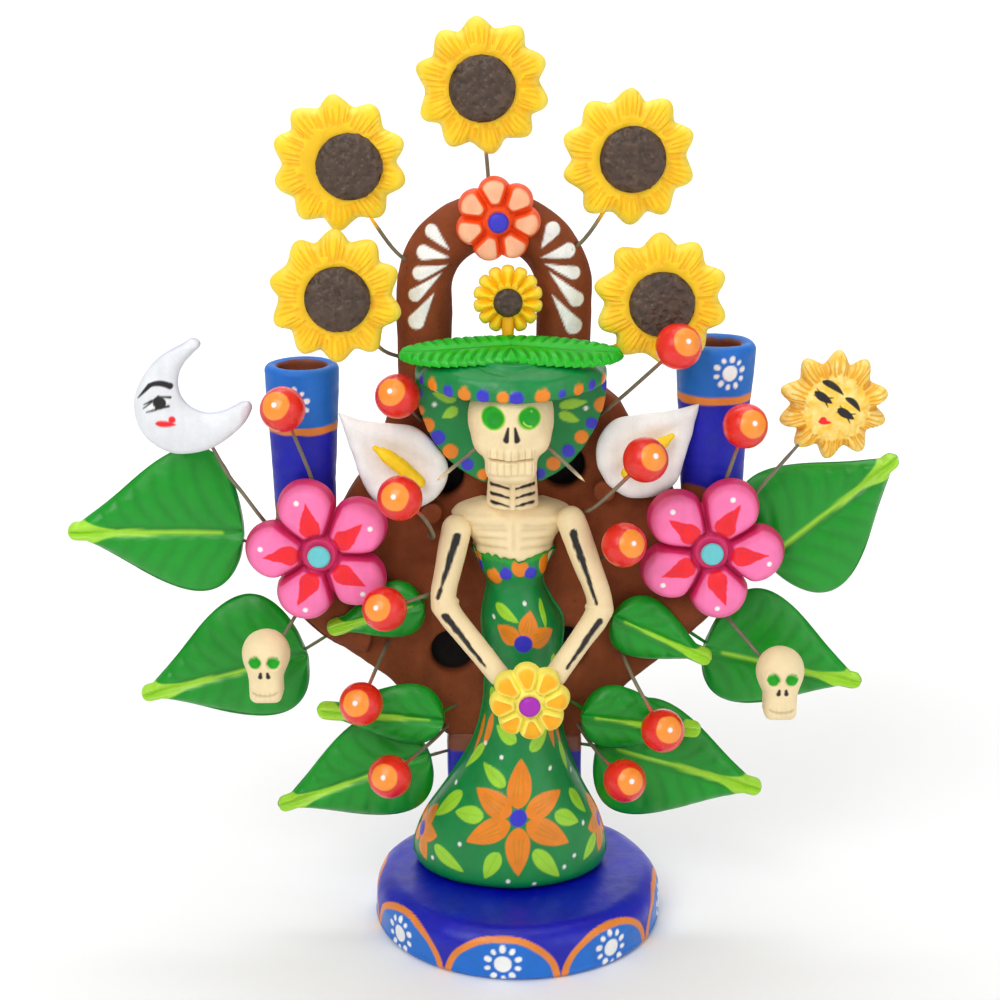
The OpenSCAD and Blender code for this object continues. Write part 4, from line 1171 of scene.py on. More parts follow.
def hat_sunflower():
    """Small rounded petals in a ring, and the stem into the crown"""
    lo, hi = box_mm("hat_sunflower")
    reach = (hi[0] - lo[0]) / 2 - 0.1
    middle = ((lo[0] + hi[0]) / 2, hi[2] - reach)
    thick, count = hi[1] - lo[1], 14

    def outline(a):
        phase = (a * count / (2 * math.pi)) % 1 * 2 - 1
        return reach * (0.84 + 0.16 * np.sqrt(np.maximum(1 - np.abs(phase) ** 2.4, 0)))

    def face(q, a, x, z):
        phase = (a * count / (2 * math.pi)) % 1 * 2 - 1
        gap = np.exp(-((1 - np.abs(phase)) * q / 0.33) ** 2)
        return 0.95 - smooth(0.45, 0.6, q) * 0.5 * gap

    s = plate(middle, hi[1], thick, outline, face, 420, 36, 7.0, SUN_YELLOW)
    x, z = s.x - middle[0], s.z - middle[1]
    a = np.arctan2(z, x) % (2 * math.pi)
    phase = (a * count / (2 * math.pi)) % 1 * 2 - 1
    q = np.hypot(x, z) / outline(a)
    # Painted shade: gold in the grooves between the petals.
    s.lay(0.75 * np.exp(-((1 - np.abs(phase)) / 0.3) ** 2) * smooth(0.3, 0.5, q), GOLD)
    s.lay(0.5 * smooth(0.8, 0.95, q), LEMON)
    s.push(0.08 * noise(s.p, 3, 140) - 0.06)
    stem = tube([(middle[0], (lo[1] + hi[1]) / 2, z) for z in np.linspace(lo[2], middle[1], 8)],
                thick / 2 - 0.1, 24,
                GOLD, False)
    make("hat_sunflower", join([s, stem]), FINISH["petal"], "sunflower_yellow", "hat_sunflower")
    centre, r, high = dome_of(box_mm("hat_sunflower_center"))
    s = button(centre, r, high, SEED_BROWN, 0.0, 3, 141, 140, 40)
    n = noise(s.p, 1.1, 142)
    s.push(0.22 * n - 0.2)
    # Painted light and shade: the raised bumps are lighter and the hollows between them darker.
    s.shade(1 + 0.4 * n)
    make("hat_sunflower_center", s, FINISH["seed"], "seed_brown", "hat_sunflower_center")


def small_button(node, slot, colour, seed):
    centre, r, high = dome_of(box_mm(node))
    make(node, button(centre, r, high, colour, 0.12, 3, seed, 140, 30), FINISH["petal"], slot, node)


def bouquet():
    count = 8
    rng = np.random.default_rng(8)
    petals = [(3.0, 5.0 * rng.uniform(0.97, 1.03), math.pi / 2 + 0.1 + 2 * math.pi * k / count, 8.4)
              for k in range(count)]

    def paint(s, x, z, front, near):
        s.push(-0.5 * inside(near + 1.3, 0.5) * front)
        # Painted shade: a thin darker line along the step round each petal's pressed middle.
        s.shade(1 - 0.1 * inside(np.abs(near + 1.1) - 0.15, 0.3) * front)
        blush = np.clip(noise(s.p, 2.5, 151) + 0.1, 0, 1) * inside(near + 1.6, 0.4)
        s.lay(0.5 * blush * front, (255, 150, 10))

    pad_flower("bouquet_flower", "bouquet_yellow", FINISH["petal"], petals, 4.3, LEMON, GOLD, 1.2, 0.62,
               0.95, paint,
               400, 56)
    small_button("bouquet_center", "purple", PURPLE, 150)


def arch_flower():
    count = 7
    petals = [(3.0, 5.6, math.pi / 2 + 0.12 + 2 * math.pi * k / count, 8.3) for k in range(count)]

    def paint(s, x, z, front, near):
        worn = np.clip(noise(s.p, 3, 156) * 0.6 + 0.2, 0, 1)
        s.lay(0.4 * worn * inside(near + 1.2, 0.8) * front, (250, 140, 90))

    pad_flower("arch_flower", "arch_petal", FINISH["petal"], petals, 4.4, ORANGE_RED, PEACH, 1.6,
               0.5, 0.75, paint,
               420, 56)
    small_button("arch_flower_center", "violet_blue", VIOLET_BLUE, 155)


def pink_flower(node, turn):
    count = 5
    turns = [math.radians(turn) + 2 * math.pi * k / count for k in range(count)]
    petals = [(5.0, 9.9, a, 15.0) for a in turns]

    def paint(s, x, z, front, near):
        s.lay(0.35 * smooth(-4, -1.2, near) * inside(near + 1.1, 0.35) * front, DEEP_PINK)
        for k, a in enumerate(turns):
            side = np.array([-math.sin(a), math.cos(a)])
            out = np.array([math.cos(a), math.sin(a)])
            lean = (-1) ** k * 1.2
            fat, tip, dot = out * 9.8, out * 18.3 + side * lean, out * 19.0 - side * lean * 1.4
            drop = np.minimum(disc(x, z, fat, 3.4), teardrop(x, z, out * 11.2, tip, 3.0))
            drop = np.maximum(drop + 0.25 * noise(s.p, 1.5, 158), near + 0.5)
            s.lay(inside(drop) * front, RED_STROKE, 0.12)
            s.lay(0.45 * inside(np.abs(drop + 1.2) - 0.2, 0.3) * front, DEEP_PINK)
            s.lay(inside(disc(x, z, dot, 0.85)) * front, WHITE, 0.15)

    pad_flower(node, "pink", FINISH["petal"], petals, 6.0, DEEP_PINK, PINK, 2.3, 0.45, 0.5, paint, 560, 72)


def pink_centers():
    parts = []
    for k, piece in enumerate(spans("pink_flower_centers")):
        centre, r, high = dome_of(piece)
        parts.append(button(centre, r + 0.6, high, TURQUOISE, 0.1, 3, 160 + k, 140, 30, 8.0))
    make("pink_flower_centers", join(parts), FINISH["petal"], "turquoise", "pink_flower_centers")


# ---------------------------------------------------------------- leaves


def leaf_side(t):
    """Half width along a leaf, as a share of its nominal one, from its stalk at 0 to its tip at 1"""
    return np.sin(math.pi * t ** 0.55) * (1.06 - 0.2 * t)


def hat_leaf_side(t):
    """The hat's leaves stay broad from the middle of the hat nearly to their rounded ends"""
    return (1 - np.abs(t * 1.5 - 0.5) ** 2.6) ** 0.6


def blade(along, across, out, length, widths, thick, rows=150, half=30, teeth=0.0, veins=5.5, lean=0.75,
          side=leaf_side, blunt=3.2, hollow=0.05, soft=0.2, relief=0.1):
    """A leaf from its stalk at the origin: its surface, and each point's share of the length, signed
    share of the half width, and whether it is on the front"""
    along, across, out = (np.array(v, float) for v in (along, across, out))
    t = 0.5 - 0.5 * np.cos(np.linspace(0.04, math.pi - 0.03, rows))
    q = np.sin(np.linspace(-math.pi / 2, math.pi / 2, 2 * half + 1))
    left, right = widths
    wide = side(t)[:, None] * np.where(q > 0, left, right)[None, :]
    wide = wide * (1 - hollow * np.exp(-((t[:, None] - 0.78) / 0.16) ** 2))
    cap = np.sqrt(np.maximum(blunt ** 2 - np.maximum(t * length - length + blunt, 0) ** 2, 0.01))[:, None]
    wide = np.where(t[:, None] > 0.5, np.maximum(wide, cap), wide)
    if teeth:
        saw = (t[:, None] * length / teeth) % 1
        wide = wide * (1 - 0.12 * saw * np.abs(q) ** 3)
    v = q * wide
    u = np.repeat(t[:, None] * length, len(q), 1)
    edge = np.sqrt(np.maximum(1 - np.abs(q) ** 4, 0))[None, :]
    far = np.abs(v)
    rib = np.exp(-(far / 1.3) ** 2)
    phase = (u - lean * far + 0.02 * far ** 2) / veins
    cut = np.exp(-(((phase % 1) - 0.5) / soft) ** 2) * smooth(1.2, 4.0, far) * smooth(1.02, 0.72, np.abs(q))
    puff = 0.66 + 0.34 * np.sin(np.clip(np.abs(q), 0, 1) * math.pi) ** 0.8
    end = np.clip(wide.max(1, keepdims=True) / 3.0, 0, 1) ** 0.6
    high = thick * edge * end * (puff - 0.16 * rib - relief * cut)
    front = u[..., None] * along + v[..., None] * across + high[..., None] * out
    share = np.linspace(1, -1, 13)[1:-1]
    back_v = wide[:, [-1]] * np.clip(share, 0, 1) + wide[:, [0]] * np.clip(share, -1, 0)
    back = (t[:, None, None] * length * along + back_v[..., None] * across
            + np.zeros((rows, 11, 1)) * out)
    grid = np.concatenate([front, back], 1)
    s = closed_rows(grid, LEAF_GREEN)
    both = [np.concatenate([np.concatenate([a, np.full((rows, 11), b)], 1).ravel(), [c, c]])
            for a, b, c in ((k, 0.0, 0.0) for k in (u / length, v, cut, np.ones_like(v)))]
    return s, both


def settle(s, node):
    """Moves a surface so that its box's middle is the CAD node's"""
    lo, hi = box_mm(node)
    s.p += (lo + hi) / 2 - (s.p.min(0) + s.p.max(0)) / 2


LEAVES = {
    "leaf_left_upper": (58, (29, 21), 180), "leaf_left_middle": (59, (26, 19), 195),
    "leaf_left_lower": (56, (20, 18), 201), "leaf_left_front": (43, (12, 10), 175),
    "leaf_left_inner": (34, (10, 10), 197), "leaf_right_upper": (56, (25, 24), 40),
    "leaf_right_middle": (56, (25, 17), -13), "leaf_right_lower": (59, (21, 23), -17),
    "leaf_right_front": (41, (12, 11), -8), "leaf_right_inner": (37, (11, 11), -26),
}
LEAF_T = 4.0


def leaf(node, length, sides, turn, seed):
    a = math.radians(turn)
    widths = sides if math.cos(a) > 0 else sides[::-1]
    s, (t, v, cut, on) = blade((math.cos(a), 0, math.sin(a)), (-math.sin(a), 0, math.cos(a)), (0, -1, 0),
                               length, [w - 0.15 for w in widths], LEAF_T - 0.2, veins=7.5, lean=0.95)
    settle(s, node)
    # Painted shade: darker in the vein folds and along a groove line just below the midrib.
    s.shade(1 - 0.13 * cut - 0.25 * np.exp(-((np.abs(v + 1.6) - 0.3) / 0.5) ** 2) * on * smooth(0.95, 0.7, t))
    wave = 0.3 * noise(s.p, 5, seed)
    half = 0.3 + 0.75 * smooth(0.1, 0.75, t) + 3.6 * smooth(0.7, 0.97, t)
    s.lay(inside(np.abs(v) - half + wave, 0.3) * on * smooth(0.1, 0.13, t), LIME, 0.08)
    s.push(on * (0.4 * noise(s.p, 14, seed + 1) + 0.07 * noise(s.p, 2.6, seed + 2) - 0.25))
    s.mottle(0.09, 11, seed + 3)
    make(node, s, FINISH["leaf"], "leaf_green", node)


def hat_leaf(node, side, seed):
    droop, tip = math.radians(4), math.radians(16)
    along = (side * math.cos(droop), 0, -math.sin(droop))
    across = (0, side * math.cos(tip), side * math.sin(tip))
    s, (_, v, cut, on) = blade(along, across, np.cross(along, across), 35.5, (9.4, 9.4), 2.9, 170, 26,
                               2.8, 3.4, 0.7, hat_leaf_side, 3.5, 0.0, 0.14, 0.3)
    s.colour[:] = linear(HAT_LEAF)
    settle(s, node)
    s.p += np.array([-side * 1.2, 0, 0.8])
    # Painted shade: darker in the vein grooves and along the midrib valley.
    s.shade(1 - 0.4 * cut - 0.3 * np.exp(-(v / 0.45) ** 2) * on)
    s.push(0.25 * np.exp(-(v / 0.7) ** 2) * on)
    s.push(on * (0.1 * noise(s.p, 4, seed) - 0.05))
    s.mottle(0.06, 5, seed + 1)
    make(node, s, FINISH["leaf"], "hat_leaf", node)


# ---------------------------------------------------------------- the ornaments on wires


def berries():
    parts = []
    lean_out = {0: -0.35, 1: 0.35}
    for k, (lo, hi) in enumerate(spans("berries")):
        centre, r = (lo + hi) / 2, (hi[0] - lo[0]) / 2
        turns = np.linspace(0, 2 * math.pi, 112, endpoint=False)
        polar = np.linspace(0.03, math.pi - 0.03, 80)
        ring = np.sin(polar)[:, None]
        unit = np.stack([ring * np.cos(turns), -np.repeat(np.cos(polar)[:, None], len(turns), 1),
                         ring * np.sin(turns)], -1)
        s = closed_rows(unit * (r - 0.15) + centre, BERRY_RED)
        way = np.concatenate([unit.reshape(-1, 3), [[0, -1, 0], [0, 1, 0]]])
        rng = np.random.default_rng(200 + k)
        out = lean_out[int(centre[0] > 0)] + rng.uniform(-0.12, 0.12)
        aim = np.array([out, -1.0, 0.42 + rng.uniform(-0.12, 0.15)])
        aim /= np.linalg.norm(aim)
        far = np.degrees(np.arccos(np.clip(way @ aim, -1, 1))) * r * math.pi / 180
        edge = 0.3 * noise(s.p, 3, 210 + k)
        s.push(0.12 * noise(s.p, 5, 230 + k) + 0.04 * noise(s.p, 1.8, 231 + k) - 0.05)
        s.mottle(0.07, 5, 250 + k)
        s.lay(inside(far - 4.9 + edge, 0.35), BERRY_ORANGE, 0.1)
        s.lay(inside(far - 0.85 + edge * 0.3, 0.2), WHITE, 0.22)
        parts.append(s)
    make("berries", join(parts), FINISH["berry"], "berry_red", "berries")


MOON_OUTER = [(-101.8, 203.6), (-103.5, 203.8), (-106, 202.2), (-113, 198), (-118.8, 192), (-122, 185.5),
              (-122.4, 180), (-121, 174), (-117, 169.2), (-111, 166.2), (-104, 166.2), (-97, 168.2),
              (-91, 172.2), (-87, 176.3), (-84.9, 180.5), (-85.2, 182.4)]
MOON_INNER = [(-101.8, 203.6), (-100.4, 202.6), (-100.4, 200.8), (-102.6, 198.6), (-106, 194.8),
              (-107.8, 190.5), (-107.4, 185.6), (-104.8, 181.8), (-100, 179.7), (-95, 180), (-91, 181.6),
              (-88.2, 183), (-86.2, 183.2), (-85.2, 182.4)]


def evenly(points, count):
    """A smooth curve through points, resampled into equal steps"""
    c = curve(points, 30)
    run = np.concatenate([[0], np.cumsum(np.linalg.norm(np.diff(c, axis=0), axis=1))])
    at = run[-1] * (0.5 - 0.5 * np.cos(np.linspace(0, math.pi, count)))
    return np.stack([np.interp(at, run, c[:, k]) for k in range(c.shape[1])], 1)


def moon():
    lo, hi = box_mm("moon")
    outer, inner = evenly(MOON_OUTER, 260)[1:-1], evenly(MOON_INNER, 260)[1:-1]
    middle, half = (outer + inner) / 2, (outer - inner) / 2
    wide = np.linalg.norm(half, axis=1, keepdims=True)
    y_mid, deep = (lo[1] + hi[1]) / 2, (hi[1] - lo[1]) / 2
    turns = np.linspace(0, 2 * math.pi, 220, endpoint=False)
    c, d = np.cos(turns), np.sin(turns)
    c, d = np.sign(c) * np.abs(c) ** 0.8, np.sign(d) * np.abs(d) ** 0.8
    depth = deep * np.clip(wide / 3.6, 0, 1) ** 0.7
    grid = np.stack([middle[:, :1] + half[:, :1] * c, y_mid - depth * d, middle[:, 1:] + half[:, 1:] * c], -1)
    s = closed_rows(grid, (232, 234, 238))
    front = s.front()
    s.push(0.25 * noise(s.p, 9, 300) + 0.05 * noise(s.p, 2, 301) - 0.15)
    # Painted shade: blue-grey on the sides that turn away from the front.
    s.lay(0.5 * smooth(-0.55, 0.1, s.normals()[:, 1]), (150, 164, 200))
    brow = np.minimum(stroke(s.x, s.z, (-120.4, 185), (-116.4, 189.2), 0.2, 0.75),
                      stroke(s.x, s.z, (-116.4, 189.2), (-110.3, 188.9), 0.75, 1.15, 0.8))
    s.lay(inside(brow) * front, BLACK, 0.08)
    eye = leaf_mark(s.x, s.z, (-117.4, 182.2), (-110.4, 184), 1.9, 0.3)
    s.lay(inside(eye) * front, WHITE)
    s.lay(inside(np.maximum(disc(s.x, s.z, (-113.6, 183.4), 2.1), eye - 0.3)) * front, BLACK, 0.08)
    for a, b in (((-118.8, 181.6), (-113.8, 185.6)), ((-113.8, 185.6), (-110.2, 185.2)),
                 ((-117.9, 180.4), (-114.6, 181.4)),
                 ((-114.6, 181.4), (-110.8, 182.4)), ((-118.6, 182.9), (-116, 184.2))):
        s.lay(inside(stroke(s.x, s.z, a, b, 0.2, 0.42)) * front, BLACK, 0.08)
    lips = np.minimum(leaf_mark(s.x, s.z, (-115.3, 176.8), (-108.6, 176.4), 1.0),
                      disc(s.x, s.z, (-109.9, 178), 1.15))
    s.lay(inside(lips) * front, RED_STROKE, 0.1)
    s.mottle(0.03, 5, 302)
    make("moon", s, FINISH["matte"], "white", "moon")


def sun():
    lo, hi = box_mm("sun")
    cx, cz = (lo[0] + hi[0]) / 2, (lo[2] + hi[2]) / 2
    radius, thick = (hi[0] - lo[0]) / 2 - 0.1, hi[1] - lo[1]
    lobes, reach = wavy_lobes(10, 77)
    rng = np.random.default_rng(78)
    lines = [(a + rng.uniform(-0.04, 0.04), rng.uniform(10.4, 11.8), rng.uniform(15, 17.8),
              rng.uniform(-1.2, 1.2))
             for a in np.linspace(0, 2 * math.pi, 64, endpoint=False)]

    def outline(a):
        return radius * (0.78 + 0.22 * reach(a))

    s = plate((cx, cz), hi[1], thick, outline,
              lambda q, a, x, z: 0.8 + 0.2 * np.sqrt(np.maximum(1 - (q / 0.62) ** 2, 0)),
              520, 70, 7.0, (252, 200, 56))
    x, z = s.x - cx, s.z - cz
    a = np.arctan2(z, x) % (2 * math.pi)
    r = np.hypot(x, z)
    q = r / outline(a)
    front = s.front()
    _, phase = lobes(a)
    press = np.zeros_like(x)
    for turn, near, far, bow in lines:
        line = stroke(x, z, polar(near, turn), polar(far, turn), 0.3, 0.12, bow * 0.4)
        press = np.maximum(press, inside(line, 0.3))
    fold = np.exp(-((1 - np.abs(phase)) * q / 0.3) ** 2) * smooth(0.6, 0.85, q)
    s.push((-0.4 * press - 0.4 * fold) * front)
    s.push(0.15 * noise(s.p, 5, 310) - 0.12)
    dry = np.clip(0.45 + 0.6 * noise(s.p * [1, 1, 1], 1.6, 311) + 0.35 * noise(s.p, 0.7, 312), 0, 1)
    s.lay(0.62 * dry * (1 - press) * front, (255, 244, 168))
    # Painted shade: orange-gold in the pressed lines and the folds between the rays.
    s.lay(0.6 * press * front + 0.25 * fold * front, (226, 148, 0))
    for start, end, half, bow in (((96.2, 189.5), (103, 185.2), 1.05, 0.7),
                                  ((103.6, 184.4), (108.6, 179.6), 0.95, 0.7)):
        s.lay(inside(leaf_mark(s.x, s.z, start, end, half, bow)) * front, BLACK, 0.08)
    for at in ((96.9, 184.2), (104.2, 178.9)):
        lid = leaf_mark(s.x, s.z, (at[0] - 2.9, at[1] + 1.9), (at[0] + 2.6, at[1] - 1.6), 1.35)
        s.lay(inside(lid) * front, BLACK, 0.08)
        for dx, dz in ((-3.2, 0.9), (-2.2, 2.9), (2.9, 0.2), (1.3, -2.9)):
            s.lay(inside(stroke(s.x, s.z, at, (at[0] + dx, at[1] + dz), 0.5, 0.12)) * front, BLACK, 0.08)
    lips = np.minimum(disc(s.x, s.z, (96.9, 177), 1.15),
                      leaf_mark(s.x, s.z, (95.4, 176.6), (99.6, 176.2), 0.8))
    s.lay(inside(lips) * front, RED_STROKE, 0.1)
    s.mottle(0.05, 5, 313)
    make("sun", s, FINISH["petal"], "sun_face", "sun")


CALLA_LEFT = [(-58.4, 177.6), (-50, 174.8), (-41, 173.8), (-33.5, 172.6), (-27.5, 167.5), (-23, 160),
              (-24, 152.5),
              (-29.5, 146.6), (-38, 144.2), (-45.5, 146.2), (-50.5, 153), (-54, 163.5)]
CALLA_RIGHT = [(58.4, 180.6), (50, 178.3), (40, 177), (31, 175), (26, 169), (25.3, 161), (29, 153.4),
               (36, 148.8),
               (45, 149.2), (51.5, 154), (54.3, 163), (56.5, 172)]


def calla(node, points, side, seed):
    """A white funnel seen open: a smooth rim, a rolled edge and a shallow throat"""
    lo, hi = box_mm(node)
    rim = curve(points + points[:1], 20)[:-1]
    cx, cz = (-38.5, 158.5) if side < 0 else (39.5, 162.5)
    turn = np.unwrap(np.arctan2(rim[:, 1] - cz, rim[:, 0] - cx))
    far = np.hypot(rim[:, 0] - cx, rim[:, 1] - cz)
    order = np.argsort(turn % (2 * math.pi))
    known, length = (turn % (2 * math.pi))[order], far[order]

    def outline(a):
        return np.interp(a, known, length, period=2 * math.pi)

    def face(q, a, x, z):
        return 0.55 + 0.45 * smooth(0.35, 0.85, q) - 0.1 * smooth(0.5, 0.0, q)

    s = plate((cx, cz), hi[1], hi[1] - lo[1], outline, face, 420, 60, 6.0, WHITE)
    x, z = s.x - cx, s.z - cz
    front = s.front()
    u = x * side * 0.78 + z * 0.62
    v = z * 0.78 - x * side * 0.62
    throat = np.exp(-((v / 4.5) ** 2 + ((u + 1) / 9.5) ** 2))
    s.push(front * (0.2 * noise(s.p, 8, seed) + 0.1 * np.sin(v * 0.9 + 0.3 * u)) - 0.1)
    s.lay(0.3 * throat * front, (238, 188, 178))
    s.mottle(0.03, 6, seed + 1)
    make(node, s, FINISH["matte"], "white", node)


def spadices():
    parts = []
    for k, (lo, hi) in enumerate(spans("calla_spadices")):
        out = -1 if (lo[0] + hi[0]) < 0 else 1
        tip = 2.6
        inner, outer = (hi[0] - tip, lo[0] + tip) if out < 0 else (lo[0] + tip, hi[0] - tip)
        y = (lo[1] + hi[1]) / 2
        path = curve([(inner, y + 0.1, lo[2] + tip), ((inner + outer) / 2, y, (lo[2] + hi[2]) / 2 + 0.5),
                      (outer, y, hi[2] - tip)], 22)
        t = np.linspace(0, 1, len(path))
        r = 1.9 + 0.55 * np.sin(math.pi * np.clip(t * 1.1, 0, 1)) - 0.9 * smooth(0.7, 1, t)
        s = tube(path, r, 40, SUN_YELLOW)
        s.push(0.12 * noise(s.p, 1.2, 330 + k))
        s.mottle(0.08, 3, 331 + k)
        parts.append(s)
    make("calla_spadices", join(parts), FINISH["petal"], "yellow", "calla_spadices")


def pegs():
    s = softened("calla_pegs", 0.35, 6, TERRACOTTA)
    s.push(0.1 * noise(s.p, 3, 340))
    make("calla_pegs", s, FINISH["clay"], "terracotta", "calla_pegs")


def small_skull(node, seed):
    lo, hi = box_mm(node)
    cx = (lo[0] + hi[0]) / 2
    r = (hi[0] - lo[0]) / 2
    cz, cy = hi[2] - r, (lo[1] + hi[1]) / 2
    chin = lo[2]

    def field(p):
        q = p.copy()
        q[:, 0] = np.abs(q[:, 0] - cx)
        d = egg(q, (0, cy, cz), (r - 0.2, r - 0.3, r - 0.1))
        jaw = block(q, (0, cy - 1.6, (chin + cz) / 2), (5.4, 5.6, (cz - chin) / 2), 2.6)
        d = blend(d, jaw, 3)
        d = -blend(-d, egg(q, (3.1, cy - r + 0.2, cz - 0.8), (2.2, 2.2, 2.3)), 0.8)
        return d

    s = cast((cx, cy - 0.5, (chin + cz) / 2 + 2), field, 6, 20, CREAM)
    front = s.front()
    side = s.x - cx
    s.push(0.1 * noise(s.p, 4, seed) - 0.06)
    mouth = chin + 3.2 + 0.06 * side ** 2
    s.push(-0.4 * np.exp(-((s.z - mouth) / 0.35) ** 2) * smooth(4.6, 4, np.abs(side)) * front)
    # Painted shade: darker along the mouth groove.
    s.shade(1 - 0.35 * np.exp(-((s.z - mouth) / 0.4) ** 2) * smooth(4.6, 4, np.abs(side)) * front)
    teeth = np.exp(-(np.abs(np.sin(math.pi * side / 1.6)) / 0.25) ** 2) * smooth(4.4, 3.8, np.abs(side))
    row = smooth(mouth - 2.2, mouth - 1.4, s.z) * smooth(mouth + 2.2, mouth + 1.4, s.z) * front
    s.push(-0.2 * teeth * row)
    # Painted shade: darker in the gaps between the teeth.
    s.shade(1 - 0.1 * teeth * row)
    for x in (-3.1, 3.1):
        d = np.maximum(np.abs(side - x) * 0.9 + np.abs(s.z - cz + 0.8) * 0.55,
                       disc(side, s.z, (x, cz - 0.8), 0)) - 2.1
        s.lay(inside(d) * front, EYE_GREEN, 0.05)
    for x in (-1.3, 1.3):
        s.lay(inside(stroke(side, s.z, (x, cz - 5.6), (x * 0.85, cz - 4.2), 0.75, 0.45)) * front, BLACK, 0.05)
    s.mottle(0.03, 4, seed + 1)
    make(node, s, FINISH["bone"], "bone", node)


def wires(node, tips=()):
    """A CAD node's wires, drawn fine and round; tips are paint on the wire: where, how far, and colour"""
    parts = []
    for points, faces in shells(node):
        mesh = bpy.data.meshes.new("wire")
        mesh.from_pydata(points.tolist(), [], faces.tolist())
        bm = bmesh.new()
        bm.from_mesh(mesh)
        bmesh.ops.dissolve_limit(bm, angle_limit=0.02, verts=bm.verts, edges=bm.edges)
        bm.to_mesh(mesh)
        bm.free()
        obj = bpy.data.objects.new("wire", mesh)
        bpy.context.scene.collection.objects.link(obj)
        mod = obj.modifiers.new("round", "SUBSURF")
        mod.levels = 1
        done = obj.evaluated_get(bpy.context.evaluated_depsgraph_get()).to_mesh()
        co = np.zeros(len(done.vertices) * 3, np.float32)
        done.vertices.foreach_get("co", co)
        quads = np.array([list(f.vertices) for f in done.polygons])
        s = Surface(co.reshape(-1, 3), quads, [], WIRE_GREY)
        bpy.data.objects.remove(obj)
        bpy.data.meshes.remove(mesh)
        parts.append(s)
    s = join(parts)
    s.mottle(0.2, 4, 400)
    s.mottle(0.15, 1.2, 401)
    for at, reach, colour in tips:
        d = np.linalg.norm(s.p - np.array(at), axis=1) + 1.2 * noise(s.p, 2, 402)
        s.lay(smooth(reach + 1, reach - 1, d), colour)
    make(node, s, FINISH["wire"], "wire", node)


def middles(node):
    return [(lo + hi) / 2 for lo, hi in spans(node)]


# ---------------------------------------------------------------- the whole tree

base()
trunk()
tree_body()
arch()
branch("branch_left", 501)
branch("branch_right", 511)
candle_cup("candle_cup_left", 171.0, -10, 11.0, 521)
candle_cup("candle_cup_right", 181.3, 16, 8.2, 531)
dress()
torso()
arm("arm_left", (-20.2, -3, 139.5), (-25.2, -8, 115.5), (-6.5, -19.5, 95),
    [((-19.8, 138.5), (-26.3, 118.5), 1.45), ((-23.6, 112.8), (-11, 98.8), 1.3)], 541)
arm("arm_right", (17, -3, 142.5), (27.8, -8, 114), (12, -19.5, 95),
    [((17.6, 139.5), (25.3, 117), 1.45), ((26.2, 111.2), (15.8, 98.2), 1.3)], 551)
neck()
skull()
hat()
hat_leaf("hat_leaf_left", -1, 561)
hat_leaf("hat_leaf_right", 1, 571)
hat_sunflower()
bouquet()
for k, name in enumerate(("top", "upper_left", "upper_right", "lower_left", "lower_right")):
    sunflower("sunflower_" + name, 600 + 10 * k)
seed_heads()
arch_flower()
pink_flower("pink_flower_left", 34)
pink_flower("pink_flower_right", -6)
pink_centers()
for k, (name, (length, sides, turn)) in enumerate(LEAVES.items()):
    leaf(name, length, sides, turn, 700 + 5 * k)
berries()
moon()
sun()
calla("calla_left", CALLA_LEFT, -1, 801)
calla("calla_right", CALLA_RIGHT, 1, 811)
spadices()
pegs()
small_skull("small_skull_left", 821)
small_skull("small_skull_right", 831)
wires("cheek_wires", [((-26.5, -17, 159.5), 6, CREAM), ((21.5, -17, 159), 6, CREAM)])
wires("sunflower_wires", [(m, 22, GOLD) for m in middles("sunflower_centers")])
wires("leaf_wires", [(m, 26, LEAF_GREEN) for name in LEAVES for m in middles(name)])
wires("berry_wires", [(m, 9, BERRY_RED) for m in middles("berries")])
wires("ornament_wires")

# ---------------------------------------------------------------- floor, light and camera


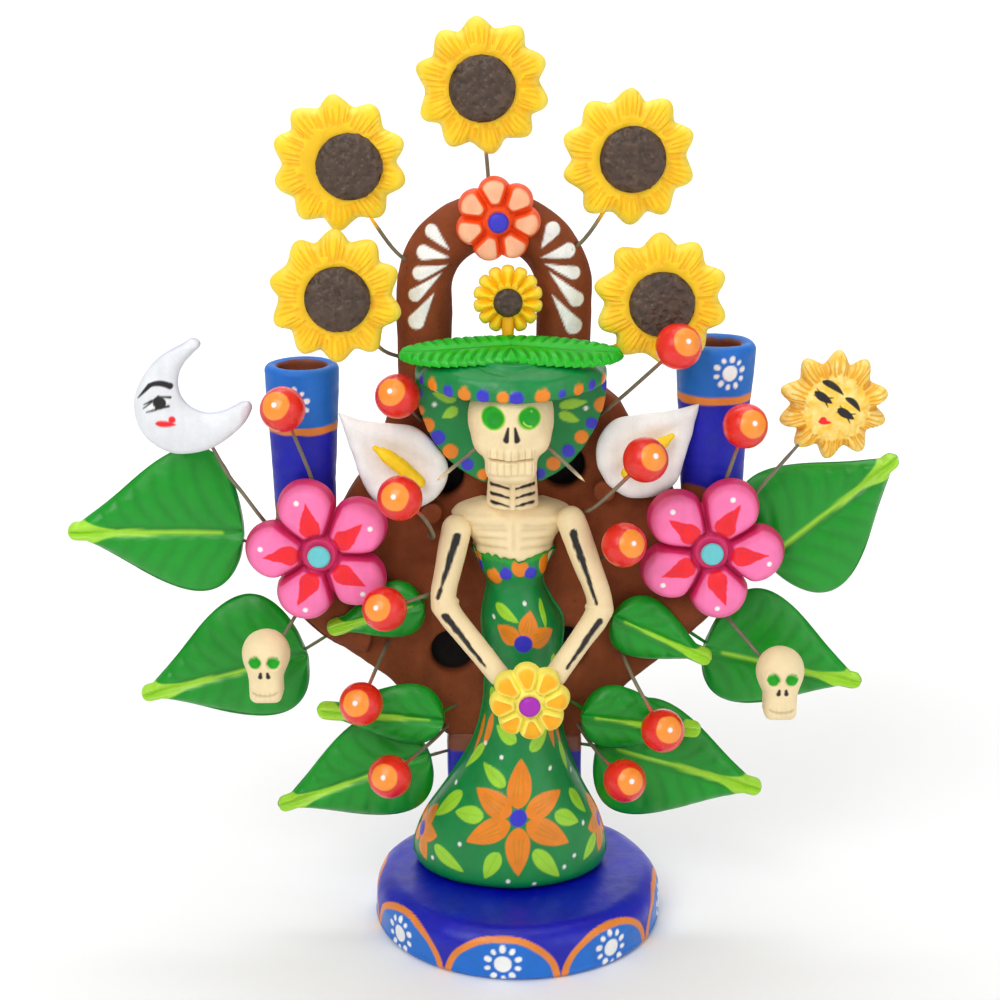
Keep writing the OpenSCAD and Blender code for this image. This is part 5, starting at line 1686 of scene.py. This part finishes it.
def floor():
    """A white sheet that curves up behind the object"""
    wide, deep, bend = 4.0, 1.6, 0.9
    turn = np.linspace(0, math.pi / 2, 24)
    curved = [(deep + bend * math.sin(t), bend - bend * math.cos(t)) for t in turn]
    run = [(-5.0, 0.0)] + curved + [(deep + bend, 5.0)]
    points = [(x, y, z) for y, z in run for x in (-wide, wide)]
    faces = [(2 * i, 2 * i + 1, 2 * i + 3, 2 * i + 2) for i in range(len(run) - 1)]
    mesh = bpy.data.meshes.new("floor")
    mesh.from_pydata(points, [], faces)
    for f in mesh.polygons:
        f.use_smooth = True
    mat = bpy.data.materials.new("floor")
    mat.use_nodes = True
    shader = mat.node_tree.nodes["Principled BSDF"]
    shader.inputs["Base Color"].default_value = (0.92, 0.92, 0.92, 1)
    shader.inputs["Roughness"].default_value = 0.9
    mesh.materials.append(mat)
    obj = bpy.data.objects.new("floor", mesh)
    bpy.context.scene.collection.objects.link(obj)


def lamp(name, at, aim, size, power, colour=(1, 1, 1)):
    light = bpy.data.lights.new(name, "AREA")
    light.shape = "SQUARE"
    light.size = size
    light.energy = power
    light.color = colour
    obj = bpy.data.objects.new(name, light)
    obj.location = at
    way = np.array(aim, float) - np.array(at, float)
    down = math.atan2(math.hypot(way[0], way[1]), -way[2])
    obj.rotation_euler = (down, 0, math.atan2(way[1], way[0]) - math.pi / 2)
    bpy.context.scene.collection.objects.link(obj)


floor()
middle_up = (0, 0, 0.15)
lamp("key", (-0.5, -0.9, 0.95), middle_up, 0.8, 8.2)
lamp("fill", (0.9, -0.8, 0.5), middle_up, 0.9, 3.2)
lamp("top", (0.0, 0.1, 1.2), middle_up, 0.8, 3.5)
lamp("backdrop", (0.0, 1.0, 1.6), (0.0, 2.2, 0.5), 1.6, 30)
world = bpy.data.worlds.new("studio")
world.use_nodes = True
world.node_tree.nodes["Background"].inputs["Color"].default_value = (1, 1, 1, 1)
world.node_tree.nodes["Background"].inputs["Strength"].default_value = 0.39
bpy.context.scene.world = world
bpy.context.scene.view_settings.view_transform = "Standard"

camera_data = bpy.data.cameras.new("camera")
camera_data.lens = 71.64
camera_data.sensor_width = 36
camera = bpy.data.objects.new("camera", camera_data)
camera.location = (-0.006, -0.620, 0.338)
camera.rotation_euler = (math.radians(73), 0, 0)
bpy.context.scene.collection.objects.link(camera)
bpy.context.scene.camera = camera
